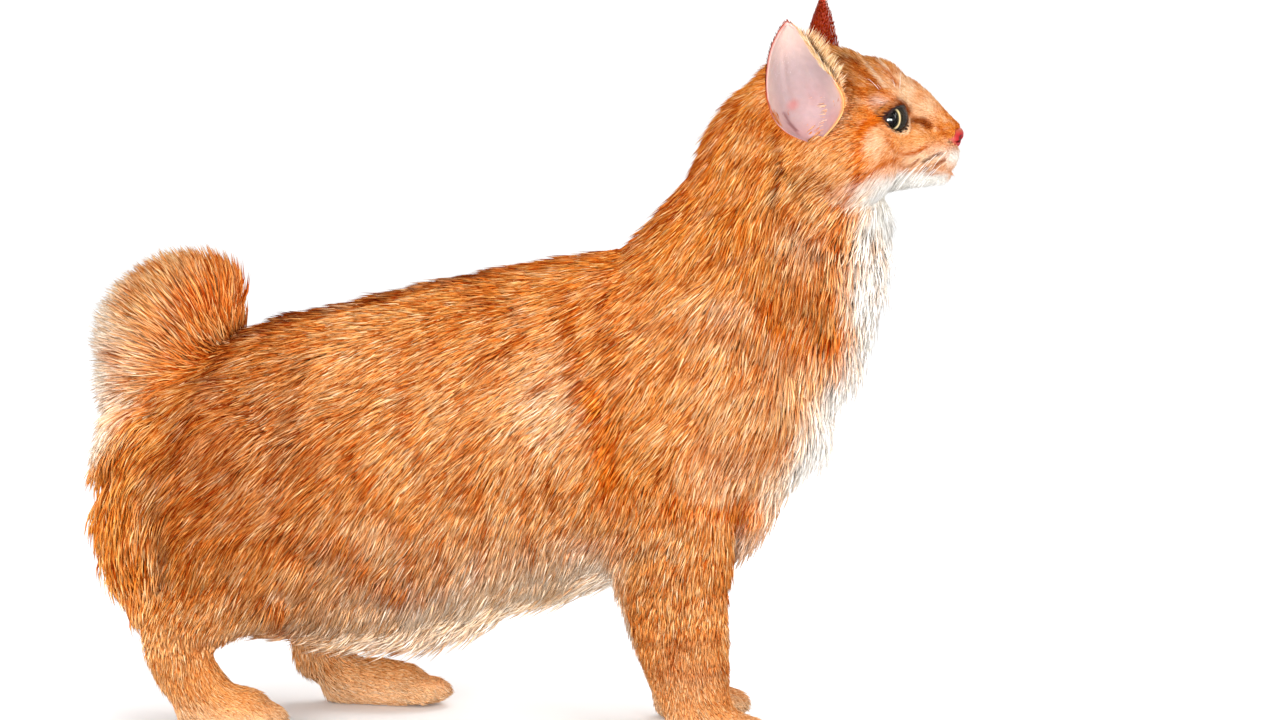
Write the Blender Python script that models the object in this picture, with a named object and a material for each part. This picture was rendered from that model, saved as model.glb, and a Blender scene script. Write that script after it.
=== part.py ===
"""A Kurilian bobtail cat, life size and still, standing with its head raised.

The cat faces +X, its left side is +Y and the floor it stands on is z = 0. Every size is in
millimetres and is turned into metres where a mesh is made. The flesh is modelled whole from lofts
and ellipsoids, made one smooth skin, and parted into its nodes by thin cuts.
"""

import math
import random
from typing import NamedTuple

import bmesh
import bpy
import numpy as np
from mathutils import Matrix, Vector
from mathutils.bvhtree import BVHTree

MM = 0.001
GAP = 0.3
FAR = 400.0
SHARP_ANGLE = math.radians(40.0)

# The ends of the whole cat, from which the origin is set in the middle of its footprint.
NOSE_TIP_X = 236.0
TAIL_TIP_X = -254.5
MIDDLE_X = (NOSE_TIP_X + TAIL_TIP_X) / 2

# How the head is turned from its own straight-ahead frame, about a point in the neck.
HEAD_PIVOT = Vector((160.0, 0.0, 330.0))
HEAD_ROLL = math.radians(7.0)
HEAD_YAW = math.radians(5.0)

EYE_RADIUS = 10.5
EYE_CENTRE = Vector((196.0, 19.0, 342.5))
EYE_AXIS = Vector((0.80, 0.59, 0.08)).normalized()
LID_THICKNESS = 1.5
LID_LONG = 9.4
LID_HIGH = 7.2

LID_SLANT = math.radians(-16.0)
LID_POINTS = 20


class Skin(NamedTuple):
    """How crossing forms are made one skin: the voxel's edge, the rounds of smoothing, and its
    number of triangles."""

    voxel: float
    smoothing: int
    faces: int


BODY_SKIN = Skin(2.8, 10, 2650)
HEAD_SKIN = Skin(1.5, 7, 2150)
TAIL_OUTER_SKIN = Skin(2.5, 4, 900)
TAIL_CORE_SKIN = Skin(2.5, 4, 360)


class Station(NamedTuple):
    """One section of a loft: its centre, half its width, and its reach above and below the centre.

    On a limb that runs downwards, above means forwards and below means backwards.
    """

    x: float
    y: float
    z: float
    half_width: float
    above: float
    below: float


def upright(x, top, bottom, half_width, widest=0.45):
    """A station of the trunk from its top and bottom lines, widest at that share of its height."""
    middle = bottom + (top - bottom) * widest
    return Station(x, 0.0, middle, half_width, top - middle, middle - bottom)


TRUNK = (
    upright(-240, 152, 92, 26),
    upright(-222, 178, 70, 41),
    upright(-192, 204, 58, 53),
    upright(-155, 223, 50, 59),
    upright(-110, 235, 46, 61),
    upright(-62, 247, 47, 62),
    upright(-15, 257, 64, 64),
    upright(35, 266, 79, 63),
    upright(80, 272, 90, 60),
    upright(118, 262, 104, 55),
    upright(142, 246, 138, 46),
    upright(158, 228, 160, 33),
)
NECK = (
    Station(78, 0, 205, 54, 66, 70),
    Station(108, 0, 240, 50, 60, 81),
    Station(136, 0, 278, 46, 58, 65),
    Station(151, 0, 318, 43, 53, 48),
    Station(164, 0, 338, 36, 42, 40),
)

# A foreleg on the left side; the right one is its mirror image, set back by its own step.
FORELEG = (
    Station(84, 44, 176, 20, 32, 34),
    Station(84, 44, 140, 21, 36, 36),
    Station(84, 40, 104, 21, 37, 33),
    Station(88, 37, 74, 19, 29, 28),
    Station(93, 37, 46, 17, 25, 24),
    Station(98, 37, 24, 16, 20, 20),
    Station(102, 37, 13, 15, 19, 17),
)
FORE_PAW = (
    Station(88, 37, 10, 14, 12, 12),
    Station(102, 37, 11, 18, 14, 13),
    Station(118, 37, 9, 18, 11, 11),
)
FORE_TOES = ((122, 26, 8.5), (128, 33, 9.0), (128, 41, 9.0), (122, 48, 8.5))
FORE_TOE_RADII = (11.0, 5.4, 8.6)
FORE_STEP = {1: -21.0, -1: -1.0}

THIGH = (
    Station(-172, 29, 186, 20, 28, 30),
    Station(-166, 35, 158, 31, 42, 54),
    Station(-158, 38, 122, 32, 52, 62),
    Station(-148, 38, 88, 28, 44, 56),
)
BREECHES = (
    Station(-200, 24, 165, 26, 34, 36),
    Station(-206, 26, 125, 29, 36, 40),
    Station(-203, 28, 92, 26, 34, 38),
    Station(-196, 32, 66, 20, 26, 26),
)
# The right hind foot stands behind with its hock raised; the left one is flat under the belly.
RIGHT_SHANK = (
    Station(-150, 42, 92, 22, 34, 34),
    Station(-176, 43, 72, 20, 26, 30),
    Station(-194, 44, 54, 16, 20, 20),
    Station(-190, 45, 34, 15, 20, 17),
    Station(-178, 45, 18, 15, 18, 16),
)
RIGHT_FOOT = (
    Station(-186, 45, 14, 14, 14, 15.5),
    Station(-168, 45, 13, 16, 14, 15.5),
    Station(-150, 45, 11, 18, 14, 13.5),
)
LEFT_SHANK = (
    Station(-112, 44, 96, 22, 34, 34),
    Station(-124, 45, 66, 19, 28, 28),
    Station(-134, 46, 38, 15, 20, 20),
    Station(-136, 46, 20, 14, 16, 15),
)
LEFT_FOOT = (
    Station(-128, 46, 13, 14, 13, 15.5),
    Station(-106, 46, 13, 15, 14, 15.5),
    Station(-82, 46, 11, 18, 13, 13.5),
)
HIND_TOES = ((0, -11, 8.0), (6, -4, 8.5), (6, 4, 8.5), (0, 11, 8.0))
HIND_TOE_RADII = (11.0, 5.2, 8.2)
RIGHT_TOES_X = -145.0
LEFT_TOES_X = -73.0

# The head in its own frame, before it is turned.
BRIDGE = (
    Station(186, 0, 344, 22, 24, 16),
    Station(202, 0, 345, 14, 17, 14),
    Station(214, 0, 340, 10, 12.5, 12),
    Station(225, 0, 334, 8.5, 8.8, 9),
    Station(232, 0, 330.5, 8.0, 6.4, 7),
)
JAW = (
    Station(160, 0, 318, 30, 18, 18),
    Station(190, 0, 313, 21, 14, 13.5),
    Station(212, 0, 311.5, 13, 9, 9),
    Station(222, 0, 311.5, 9.0, 7, 7.5),
)

# The nose leather: its back plane, half widths and heights from the top down to the lip.
NOSE_BACK_X = 231.5
NOSE_FRONT_X = 250.0
NOSE_HALF_WIDTHS = (8.2, 8.2, 2.2)
NOSE_HEIGHTS = (337.5, 329.0, 324.2)
NOSTRIL_CENTRE = Vector((238.0, 4.6, 329.3))
NOSTRIL_RADII = (4.0, 2.4, 1.5)
NOSTRIL_TURN = math.radians(35.0)

# The left half of the mouth, from its corner to under the nose.
MOUTH = (
    (204.5, 22.5, 314.2),
    (209.0, 21.0, 313.0),
    (215.0, 18.5, 312.2),
    (221.0, 15.0, 312.6),
    (226.5, 10.0, 313.8),
    (230.0, 5.0, 315.0),
    (231.5, 0.0, 316.4),
)
MOUTH_CENTRE_X = 198.0
MOUTH_HALF_WIDTH = 0.5
MOUTH_DEPTH = 4.5
MOUTH_REACH = 12.0
MOUTH_SPREAD = 1.4
LIP_START = 8.0
LIP_THICKNESS = 0.92
LIP_RADIUS = 1.15
LIP_HEIGHT = 1.35


class Bulb(NamedTuple):
    """An ellipsoid of the head: centre, with y on the left side, and radii along X, Y and Z."""

    x: float
    y: float
    z: float
    rx: float
    ry: float
    rz: float


MIDDLE_BULBS = (
    Bulb(160, 0, 343, 41, 37, 34),
    Bulb(186, 0, 350, 22, 23, 20.5),
    Bulb(208, 0, 328, 20, 14, 14),
    Bulb(222, 0, 310.5, 8.5, 9.5, 6.5),
)
PAIRED_BULBS = (
    Bulb(170, 23, 320, 33, 25, 26),
    Bulb(185, 24, 332, 19, 17, 12),
    Bulb(203, 13, 325, 19, 13, 13),
    Bulb(191, 15, 354, 12, 11, 7.5),
    Bulb(221, 8.5, 320.5, 12.5, 10.4, 9.2),
    Bulb(141, 21, 348, 20, 15, 18),
)

# The tail: a pompom of locks round a short kinked tail, beyond a slanted root plane.
TAIL_PLANE_POINT = Vector((-192.0, 0.0, 190.0))
TAIL_PLANE_NORMAL = Vector((-0.66, 0.0, 0.75)).normalized()
TAIL_BULBS = (
    Bulb(-213, 0, 212, 42, 43, 50),
    Bulb(-198, 0, 232, 40, 38, 38),
    Bulb(-230, 0, 173, 24, 32, 36),
)
TAIL_CORE_BULBS = (
    Bulb(-210, 0, 210, 24, 24, 31),
    Bulb(-196, 0, 228, 24, 22, 20),
    Bulb(-225, 0, 180, 14, 18, 22),
    Bulb(-188, 0, 203, 20, 23, 22),
)
TAIL_MIDDLE = Vector((-208.0, 0.0, 209.0))
TAIL_ROOT = Vector((-184.0, 0.0, 186.0))
TAIL_LOCKS = 53
TAIL_DROOP = 0.35


class LockSize(NamedTuple):
    """The size of the locks of one stretch of coat, and how far their roots are sunk."""

    length: float
    width: float
    thickness: float
    sunk: float
    arch: float


# Along a lock: how far, and its width and thickness there as shares of its own.
LOCK_RINGS = ((0.0, 0.75, 1.0), (0.42, 1.0, 1.0), (0.76, 0.74, 0.75))
LOCK_FLATTENED = 0.85
LOCK_LENGTH_SPREAD = (0.88, 1.12)
LOCK_WIDTH_SPREAD = (0.9, 1.1)
LOCK_SWAY = 0.12
LOCK_TIP_LIFT = (-0.6, 1.0)


class Pad(NamedTuple):
    """A ball in which the skin lies below the tips of the coat, by up to that depth."""

    x: float
    y: float
    z: float
    radius: float
    depth: float


class Patch(NamedTuple):
    """A patch of long coat. Rays leave a line inside the body, fanned about a middle direction and
    across the line, and a lock is rooted where each comes out. Every other row is set between the
    fan's directions of the last, and ends one lock sooner.
    """

    start: tuple
    end: tuple
    rows: int
    facing: tuple
    fan: tuple
    lie: tuple
    size: LockSize


TAIL_SIZE = LockSize(34.0, 15.0, 3.0, 7.0, 3.5)
BREECHES_SIZE = LockSize(30.0, 13.0, 2.6, 5.0, 2.5)
BELLY_SIZE = LockSize(26.0, 13.0, 2.4, 5.0, 2.0)
BIB_SIZE = LockSize(28.0, 12.0, 2.4, 5.0, 2.0)

BODY_PADS = (
    Pad(-222, 28, 122, 70, 6.5),
    Pad(-205, 34, 88, 50, 5.0),
    Pad(-118, 0, 38, 58, 6.0),
    Pad(-62, 0, 40, 58, 6.0),
    Pad(-8, 0, 58, 52, 6.0),
    Pad(40, 0, 76, 40, 5.0),
    Pad(205, 0, 250, 50, 6.0),
    Pad(190, 0, 212, 52, 6.0),
    Pad(158, 0, 160, 44, 5.5),
)

BREECHES_PATCH = Patch(
    (-178, 26, 163), (-172, 30, 92), 4, (-1, 0, 0), (-22, 12, 46, 80), (-0.42, 0, -0.91), BREECHES_SIZE
)
BELLY_PATCH = Patch(
    (42, 0, 130), (-138, 0, 100), 7, (0, 0, -1), (-50, -17, 17, 50), (-0.72, 0, -0.69), BELLY_SIZE
)
THROAT_PATCH = Patch(
    (146, 0, 292), (122, 0, 226), 4, (0.9, 0, -0.4), (-58, -20, 20, 58), (0.05, 0, -1), BIB_SIZE
)
CHEST_PATCH = Patch(
    (98, 0, 196), (78, 0, 172), 2, (0.8, 0, -0.6), (-42, -14, 14, 42), (-0.45, 0, -0.89), BIB_SIZE
)
SEED = 11

# The planes across the neck, and where the trunk is parted between ribs and loin.
HEAD_CUT_POINT = Vector((146.0, 0.0, 323.0))
NECK_CUT_POINT = Vector((117.0, 0.0, 231.0))
NECK_CUT_NORMAL = Vector((0.64, 0.0, 0.77)).normalized()
TRUNK_CUT_X = -10.0


class LegCuts(NamedTuple):
    """Where a leg leaves the trunk: its reach along X above its joint, the inner edge of the slanted
    face low down and the height where that face starts, and the face's upper edge."""

    back: float
    front: float
    inner: float
    root: float
    crest_side: float
    crest: float


FORE_CUTS = {1: LegCuts(20, 140, 13, 92, 60, 178), -1: LegCuts(42, 160, 13, 92, 60, 178)}
HIND_CUTS = {1: LegCuts(-300, -70, 12, 70, 62, 196), -1: LegCuts(-300, -104, 12, 70, 62, 196)}
FORE_JOINT, FORE_ANKLE = 66.0, 25.0
HIND_JOINT, HIND_ANKLE = 44.0, 23.0


class Ear(NamedTuple):
    """One ear on its own side of the head: its root, and where its tip and its hollow point."""

    root: tuple
    tip: tuple
    facing: tuple


EARS = {
    -1: Ear((154.0, 36.0, 346.0), (-0.20, 0.19, 0.96), (0.20, 0.98, 0.0)),
    1: Ear((149.0, 35.0, 348.0), (0.05, 0.08, 0.99), (0.96, 0.28, 0.0)),
}
EAR_HEIGHT = 54.0
EAR_SUNK = 13.0
EAR_HALF_WIDTHS = (9.0, 15.5, 19.0, 20.8, 21.0, 20.0, 18.0, 15.0, 10.8, 3.2)
EAR_SPREAD_LOW = 112.0
EAR_SPREAD_TIP = 50.0
EAR_THICKNESS = 1.7
EAR_ROWS = 10
EAR_COLUMNS = 8
EAR_FORWARD = 9.0
EAR_LEAN = 7.0
EAR_CUP = 0.35
CONCHA_RADII = (17.5, 16.0, 21.0)
CONCHA_FORWARD = 11.0
CONCHA_UP = 5.0
PAD_EDGE = 2.2

COAT_ORANGE = (0.72, 0.33, 0.11)
COAT_CREAM = (0.90, 0.68, 0.45)
EAR_PINK = (0.86, 0.62, 0.58)
NOSE_PINK = (0.75, 0.28, 0.27)
EYE_GREEN = (0.55, 0.60, 0.30)


def clear_scene():
    """Removes what the startup scene holds."""
    for obj in list(bpy.data.objects):
        bpy.data.objects.remove(obj, do_unlink=True)


def material(name, colour, roughness):
    """A plain finish."""
    made = bpy.data.materials.new(name)
    made.use_nodes = True
    shader = made.node_tree.nodes["Principled BSDF"]
    shader.inputs["Base Color"].default_value = (*colour, 1.0)
    shader.inputs["Roughness"].default_value = roughness
    shader.inputs["Metallic"].default_value = 0.0
    return made


def object_from(name, mesh):
    """A mesh as an object of the scene."""
    obj = bpy.data.objects.new(name, mesh)
    bpy.context.scene.collection.objects.link(obj)
    return obj


def from_bmesh(name, shape):
    """A closed bmesh as an object, its faces pointing out."""
    bmesh.ops.recalc_face_normals(shape, faces=shape.faces)
    mesh = bpy.data.meshes.new(name)
    shape.to_mesh(mesh)
    shape.free()
    return object_from(name, mesh)


def through_stations(stations, steps):
    """The stations with a smooth curve's points between them."""
    rows = np.array(stations, float)
    padded = np.vstack([2 * rows[0] - rows[1], rows, 2 * rows[-1] - rows[-2]])
    out = []
    for i in range(1, len(padded) - 2):
        before, start, end, after = padded[i - 1 : i + 3]
        for t in np.arange(steps) / steps:
            out.append(
                start
                + 0.5 * t * (end - before)
                + t * t * (before - 2.5 * start + 2 * end - 0.5 * after)
                + 0.5 * t**3 * (after - 3 * end + 3 * start - before)
            )
    out.append(rows[-1])
    return np.array(out)


def section_frame(tangent):
    """The side and up directions of a section across that tangent."""
    tangent = tangent / np.linalg.norm(tangent)
    side = np.array((0.0, 1.0, 0.0)) - tangent[1] * tangent
    side /= np.linalg.norm(side)
    return tangent, side, np.cross(tangent, side)


def loft(name, stations, standing=False, sides=28, steps=4, domes=(0.55, 0.55)):
    """A closed skin through the stations with a dome on each end.

    With standing, every section is upright; otherwise it lies across the path. domes are the
    reaches of the two ends as shares of their sections.
    """
    rows = through_stations(stations, steps)
    tangents = np.gradient(rows[:, :3], axis=0)
    if standing:
        tangents[:] = (1.0, 0.0, 0.0)
    angles = np.arange(sides) / sides * 2 * math.pi
    across, along = np.cos(angles), np.sin(angles)
    rings = []
    for end, dome in zip((0, -1), domes):
        tangent = section_frame(tangents[end])[0]
        reach = dome * min(rows[end][3], (rows[end][4] + rows[end][5]) / 2)
        outward = -tangent if end == 0 else tangent
        steps_out = [math.radians(a) for a in (90, 68, 45, 22)]
        domed = [(outward * reach * math.sin(a), math.cos(a)) for a in steps_out]
        rings.append(domed)
    start_dome, end_dome = rings
    plan = [(0, shift, scale) for shift, scale in start_dome]
    plan += [(i, np.zeros(3), 1.0) for i in range(len(rows))]
    plan += [(len(rows) - 1, shift, scale) for shift, scale in reversed(end_dome)]
    shape = bmesh.new()
    loops = []
    for index, shift, scale in plan:
        row = rows[index]
        _, side, up = section_frame(tangents[index])
        centre = row[:3] + shift
        if scale < 1e-6:
            loops.append([shape.verts.new(centre * MM)])
            continue
        reach = np.where(along > 0, row[4], row[5]) * along * scale
        points = centre + np.outer(across * row[3] * scale, side) + np.outer(reach, up)
        loops.append([shape.verts.new(point * MM) for point in points])
    for first, second in zip(loops, loops[1:]):
        for k in range(sides):
            after = (k + 1) % sides
            if len(first) == 1:
                shape.faces.new((first[0], second[k], second[after]))
            elif len(second) == 1:
                shape.faces.new((first[k], first[after], second[0]))
            else:
                shape.faces.new((first[k], first[after], second[after], second[k]))
    return from_bmesh(name, shape)


def ellipsoid(name, centre, radii, turn=None, subdivisions=3):
    """A closed ellipsoid; turn is a rotation matrix of its axes."""
    shape = bmesh.new()
    bmesh.ops.create_icosphere(shape, subdivisions=subdivisions, radius=1.0)
    place = Matrix.Translation(Vector(centre) * MM) @ (turn or Matrix.Identity(4))
    place = place @ Matrix.Diagonal((*(Vector(radii) * MM), 1.0))
    bmesh.ops.transform(shape, matrix=place, verts=shape.verts)
    return from_bmesh(name, shape)


def mirrored(stations, side, shift=0.0):
    """The stations of a left-hand limb on the side asked for, moved along X."""
    return [s._replace(y=s.y * side, x=s.x + shift) for s in stations]


def prism(name, outline, low, high):
    """A straight bar along X from low to high, whose outline is given in Y and Z."""
    shape = bmesh.new()
    ends = [[Vector((at, u, v)) for u, v in outline] for at in (low, high)]
    rings = [[shape.verts.new(p * MM) for p in ring] for ring in ends]
    for k in range(len(outline)):
        after = (k + 1) % len(outline)
        shape.faces.new((rings[0][k], rings[0][after], rings[1][after], rings[1][k]))
    for ring in rings:
        shape.faces.new(ring)
    return from_bmesh(name, shape)


def half_space(name, point, normal, offset):
    """A large block on the side of a plane that its normal points to, offset along the normal."""
    shape = bmesh.new()
    bmesh.ops.create_cube(shape, size=2 * FAR * MM)
    normal = Vector(normal).normalized()
    turn = normal.to_track_quat("Z", "Y").to_matrix().to_4x4()
    place = Matrix.Translation((Vector(point) + normal * (FAR + offset)) * MM) @ turn
    bmesh.ops.transform(shape, matrix=place, verts=shape.verts)
    return from_bmesh(name, shape)


def evaluated(obj):
    """The object's mesh with its modifiers applied, in place of its own."""
    bpy.context.view_layer.update()
    graph = bpy.context.evaluated_depsgraph_get()
    mesh = bpy.data.meshes.new_from_object(obj.evaluated_get(graph))
    obj.modifiers.clear()
    old = obj.data
    obj.data = mesh
    bpy.data.meshes.remove(old)
    return obj


def boolean(obj, other, operation):
    """Cuts or trims obj with other, applied, and removes other."""
    modifier = obj.modifiers.new(operation, "BOOLEAN")
    modifier.operation = operation
    modifier.solver = "EXACT"
    modifier.object = other
    evaluated(obj)
    bpy.data.objects.remove(other, do_unlink=True)
    return obj


def joined(name, objects):
    """The objects' meshes in one object, not yet one skin."""
    shape = bmesh.new()
    for obj in objects:
        shape.from_mesh(obj.data)
        bpy.data.objects.remove(obj, do_unlink=True)
    mesh = bpy.data.meshes.new(name)
    shape.to_mesh(mesh)
    shape.free()
    return object_from(name, mesh)


def one_skin(obj, skin):
    """Makes crossing closed meshes one smooth skin of about that many triangles."""
    remesh = obj.modifiers.new("Skin", "REMESH")
    remesh.mode = "VOXEL"
    remesh.voxel_size = skin.voxel * MM
    smooth = obj.modifiers.new("Soften", "SMOOTH")
    smooth.factor = 0.5
    smooth.iterations = skin.smoothing
    evaluated(obj)
    triangles = 2 * len(obj.data.polygons)
    decimate = obj.modifiers.new("Fewer", "DECIMATE")
    decimate.ratio = min(1.0, skin.faces / triangles)
    return evaluated(obj)


def copy_of(obj, name):
    """A separate copy of an object."""
    return object_from(name, obj.data.copy())


def largest_shell(obj):
    """Keeps only the largest closed surface of a mesh."""
    shape = bmesh.new()
    shape.from_mesh(obj.data)
    seen, shells = set(), []
    for start in shape.verts:
        if start in seen:
            continue
        stack, shell = [start], []
        seen.add(start)
        while stack:
            vert = stack.pop()
            shell.append(vert)
            for edge in vert.link_edges:
                other = edge.other_vert(vert)
                if other not in seen:
                    seen.add(other)
                    stack.append(other)
        shells.append(shell)
    shells.sort(key=len)
    spare = [vert for shell in shells[:-1] for vert in shell]
    bmesh.ops.delete(shape, geom=spare, context="VERTS")
    shape.to_mesh(obj.data)
    shape.free()
    return obj


def finished(obj, name, finish, parent):
    """Names a node, gives it its finish and hangs it on the empty that places the cat."""
    obj.name = name
    obj.data.name = name
    obj.parent = parent
    obj.data.materials.clear()
    obj.data.materials.append(finish)
    obj.data.shade_smooth()
    obj.data.set_sharp_from_angle(angle=SHARP_ANGLE)
    return obj


def head_matrix():
    """Turns a thing from the head's own frame to where the head is held."""
    to_pivot = Matrix.Translation(HEAD_PIVOT * MM)
    turn = Matrix.Rotation(HEAD_YAW, 4, "Z") @ Matrix.Rotation(HEAD_ROLL, 4, "X")
    return to_pivot @ turn @ to_pivot.inverted()


def turned_with_head(obj):
    """Moves a piece made in the head's own frame to where the head is held."""
    obj.data.transform(head_matrix())
    return obj


def toes(places, radii, side, shift=0.0):
    """Four rounded toes in a row."""
    return [
        ellipsoid("toe", (x + shift, y * side, z), radii, subdivisions=2) for x, y, z in places
    ]


def hind_toes(side, at_x, at_y):
    """The toes of a hind foot, in an arc before its middle."""
    places = [(at_x + dx, at_y + dy, z) for dx, dy, z in HIND_TOES]
    return toes(places, HIND_TOE_RADII, side)


def surface_of(obj):
    """A tree in which rays and nearest points are looked up on a mesh."""
    shape = bmesh.new()
    shape.from_mesh(obj.data)
    tree = BVHTree.FromBMesh(shape)
    shape.free()
    return tree


def sunk_skin(obj, pads, frame=None):
    """A copy of a skin that lies below the tips of the coat inside the pads.

    frame is the matrix that the skin is still to be turned by.
    """
    core = copy_of(obj, obj.name + "_core")
    count = len(core.data.vertices)
    places, normals = np.empty(count * 3), np.empty(count * 3)
    core.data.vertices.foreach_get("co", places)
    core.data.vertices.foreach_get("normal", normals)
    places, normals = places.reshape(-1, 3), normals.reshape(-1, 3)
    depth = np.zeros(count)
    for pad in pads:
        for side in {1, -1} if pad.y else {1}:
            centre = Vector((pad.x, pad.y * side, pad.z)) * MM
            if frame:
                centre = frame.inverted() @ centre
            near = 1 - np.linalg.norm(places - np.array(centre), axis=1) / (pad.radius * MM)
            near = np.clip(near * PAD_EDGE, 0, 1)
            depth = np.maximum(depth, pad.depth * near * near * (3 - 2 * near))
    places -= normals * depth[:, None] * MM
    core.data.vertices.foreach_set("co", places.ravel())
    core.data.update()
    return core


def lock(root, normal, tip, size, wide):
    """One flat, tapered lock, sunk at its root, arched over its lie and drawn to a point."""
    lie = (tip - root).normalized()
    start = root - normal * size.sunk - lie * size.sunk * 0.4
    middle = root.lerp(tip, 0.5) + normal * size.arch
    bend = middle * 2 - start.lerp(tip, 0.5)
    shape = bmesh.new()
    rings = []
    for share, width, thickness in LOCK_RINGS:
        place = start.lerp(bend, share).lerp(bend.lerp(tip, share), share)
        along = (bend.lerp(tip, share) - start.lerp(bend, share)).normalized()
        side = along.cross(normal).normalized() * (size.width * wide * width / 2)
        out = side.cross(along).normalized() * (size.thickness * thickness / 2)
        ring = [shape.verts.new((place + corner) * MM) for corner in (side, out, -side, -out)]
        rings.append(ring)
    point = shape.verts.new(tip * MM)
    for first, second in zip(rings, rings[1:]):
        for k in range(4):
            after = (k + 1) % 4
            shape.faces.new((first[k], first[after], second[after], second[k]))
    for k in range(4):
        shape.faces.new((rings[-1][k], rings[-1][(k + 1) % 4], point))
    shape.faces.new(rings[0])
    bmesh.ops.triangulate(shape, faces=shape.faces)
    return from_bmesh("lock", shape)


def rooted_lock(core, outer, inside, ray, lie, size, draw):
    """A lock that grows where a ray from inside leaves the core, its tip on the outer skin."""
    root, normal = core.ray_cast(inside * MM, ray)[:2]
    if root is None:
        return None
    root /= MM
    flow = lie - normal * lie.dot(normal) * LOCK_FLATTENED
    flow = flow.normalized() * size.length * draw.uniform(*LOCK_LENGTH_SPREAD)
    flow += normal.cross(lie) * size.length * draw.uniform(-LOCK_SWAY, LOCK_SWAY)
    tip, tip_normal = outer.find_nearest((root + flow) * MM)[:2]
    tip = tip / MM + tip_normal * draw.uniform(*LOCK_TIP_LIFT)
    return lock(root, normal, tip, size, draw.uniform(*LOCK_WIDTH_SPREAD))


def patch_locks(patch, core, outer, side=1):
    """The locks of one patch of long coat, on the side of the body asked for."""
    draw = random.Random(SEED)
    start, end = (Vector((p[0], p[1] * side, p[2])) for p in (patch.start, patch.end))
    facing = Vector((patch.facing[0], patch.facing[1] * side, patch.facing[2])).normalized()
    axis = (end - start).normalized()
    locks = []
    for row in range(patch.rows):
        inside = start.lerp(end, row / (patch.rows - 1))
        angles = patch.fan
        if row % 2:
            angles = [(a + b) / 2 for a, b in zip(patch.fan, patch.fan[1:])]
        for angle in angles:
            turn = Matrix.Rotation(math.radians(angle) * side * fan_sign(axis, facing), 3, axis)
            ray = turn @ facing
            lie = Vector(patch.lie)
            locks.append(rooted_lock(core, outer, inside, ray, lie, patch.size, draw))
    return [made for made in locks if made]


def fan_sign(axis, facing):
    """Which way round the axis turns the middle direction towards the left side."""
    return 1 if axis.cross(facing).y > 0 else -1


def pompom_locks(core, outer):
    """The locks of the tail, spread evenly over its core and flowing away from its root."""
    draw = random.Random(SEED)
    golden = math.pi * (3 - math.sqrt(5))
    locks = []
    for index in range(TAIL_LOCKS):
        height = 1 - 2 * (index + 0.5) / TAIL_LOCKS
        ring = math.sqrt(1 - height * height)
        ray = Vector((math.cos(golden * index) * ring, math.sin(golden * index) * ring, height))
        root, normal = core.ray_cast(TAIL_MIDDLE * MM, ray)[:2]
        root /= MM
        if (root - TAIL_PLANE_POINT).dot(TAIL_PLANE_NORMAL) < 0:
            continue
        away = (root - TAIL_ROOT).normalized() - Vector((0, 0, TAIL_DROOP))
        locks.append(rooted_lock(core, outer, TAIL_MIDDLE, ray, away, TAIL_SIZE, draw))
    return locks


def with_pieces(core, pieces):
    """The core and the pieces that grow from it as one closed surface."""
    collection = bpy.data.collections.new("pieces")
    for piece in pieces:
        collection.objects.link(piece)
    modifier = core.modifiers.new("Pieces", "BOOLEAN")
    modifier.operation = "UNION"
    modifier.operand_type = "COLLECTION"
    modifier.solver = "EXACT"
    modifier.collection = collection
    evaluated(core)
    for piece in pieces:
        bpy.data.objects.remove(piece, do_unlink=True)
    bpy.data.collections.remove(collection)
    return largest_shell(core)


def body_forms():
    """Every closed form of the trunk, neck and legs, as objects that cross one another."""
    forms = [loft("trunk", TRUNK, standing=True, domes=(0.55, 0.25)), loft("neck", NECK)]
    forms += [turned_with_head(bulb) for bulb in skull_bulbs()]
    for side in (1, -1):
        step = FORE_STEP[side]
        forms.append(loft("foreleg", mirrored(FORELEG, side, step)))
        forms.append(loft("fore_paw", mirrored(FORE_PAW, side, step)))
        forms += toes(FORE_TOES, FORE_TOE_RADII, side, step)
        forms.append(loft("thigh", mirrored(THIGH, side)))
        forms.append(loft("breeches", mirrored(BREECHES, side)))
    forms.append(loft("right_shank", mirrored(RIGHT_SHANK, -1)))
    forms.append(loft("right_foot", mirrored(RIGHT_FOOT, -1)))
    forms += hind_toes(-1, RIGHT_TOES_X, RIGHT_FOOT[-1].y)
    forms.append(loft("left_shank", LEFT_SHANK))
    forms.append(loft("left_foot", LEFT_FOOT))
    forms += hind_toes(1, LEFT_TOES_X, LEFT_FOOT[-1].y)
    return forms


def skull_bulbs():
    """The rounded masses of the head, in its own frame."""
    bulbs = [ellipsoid("bulb", bulb[:3], bulb[3:]) for bulb in MIDDLE_BULBS]
    for bulb in PAIRED_BULBS:
        for side in (1, -1):
            bulbs.append(ellipsoid("bulb", (bulb.x, bulb.y * side, bulb.z), bulb[3:]))
    return bulbs


def head_forms():
    """Every closed form of the head and the neck it runs into, in the head's own frame."""
    neck = loft("neck", NECK)
    neck.data.transform(head_matrix().inverted())
    forms = [neck, loft("bridge", BRIDGE), loft("jaw", JAW)] + skull_bulbs()
    for side in (1, -1):
        centre = (EYE_CENTRE.x, EYE_CENTRE.y * side, EYE_CENTRE.z)
        forms.append(ellipsoid("lids", centre, [EYE_RADIUS + LID_THICKNESS] * 3))
    return forms


def upper_leg_region(cuts, side, low, grow=0.0):
    """The block that holds the top of a leg, under the slanted face where it leaves the trunk.

    grow makes it larger, to cut the trunk with.
    """
    inner, crest_side = cuts.inner - grow, cuts.crest_side - grow
    outline = [(inner, low), (FAR, low), (FAR, cuts.crest), (crest_side, cuts.crest + grow)]
    outline.append((inner, cuts.root))
    outline = [(y * side, z) for y, z in outline]
    return prism("upper_leg", outline, cuts.back - grow, cuts.front + grow)


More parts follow.
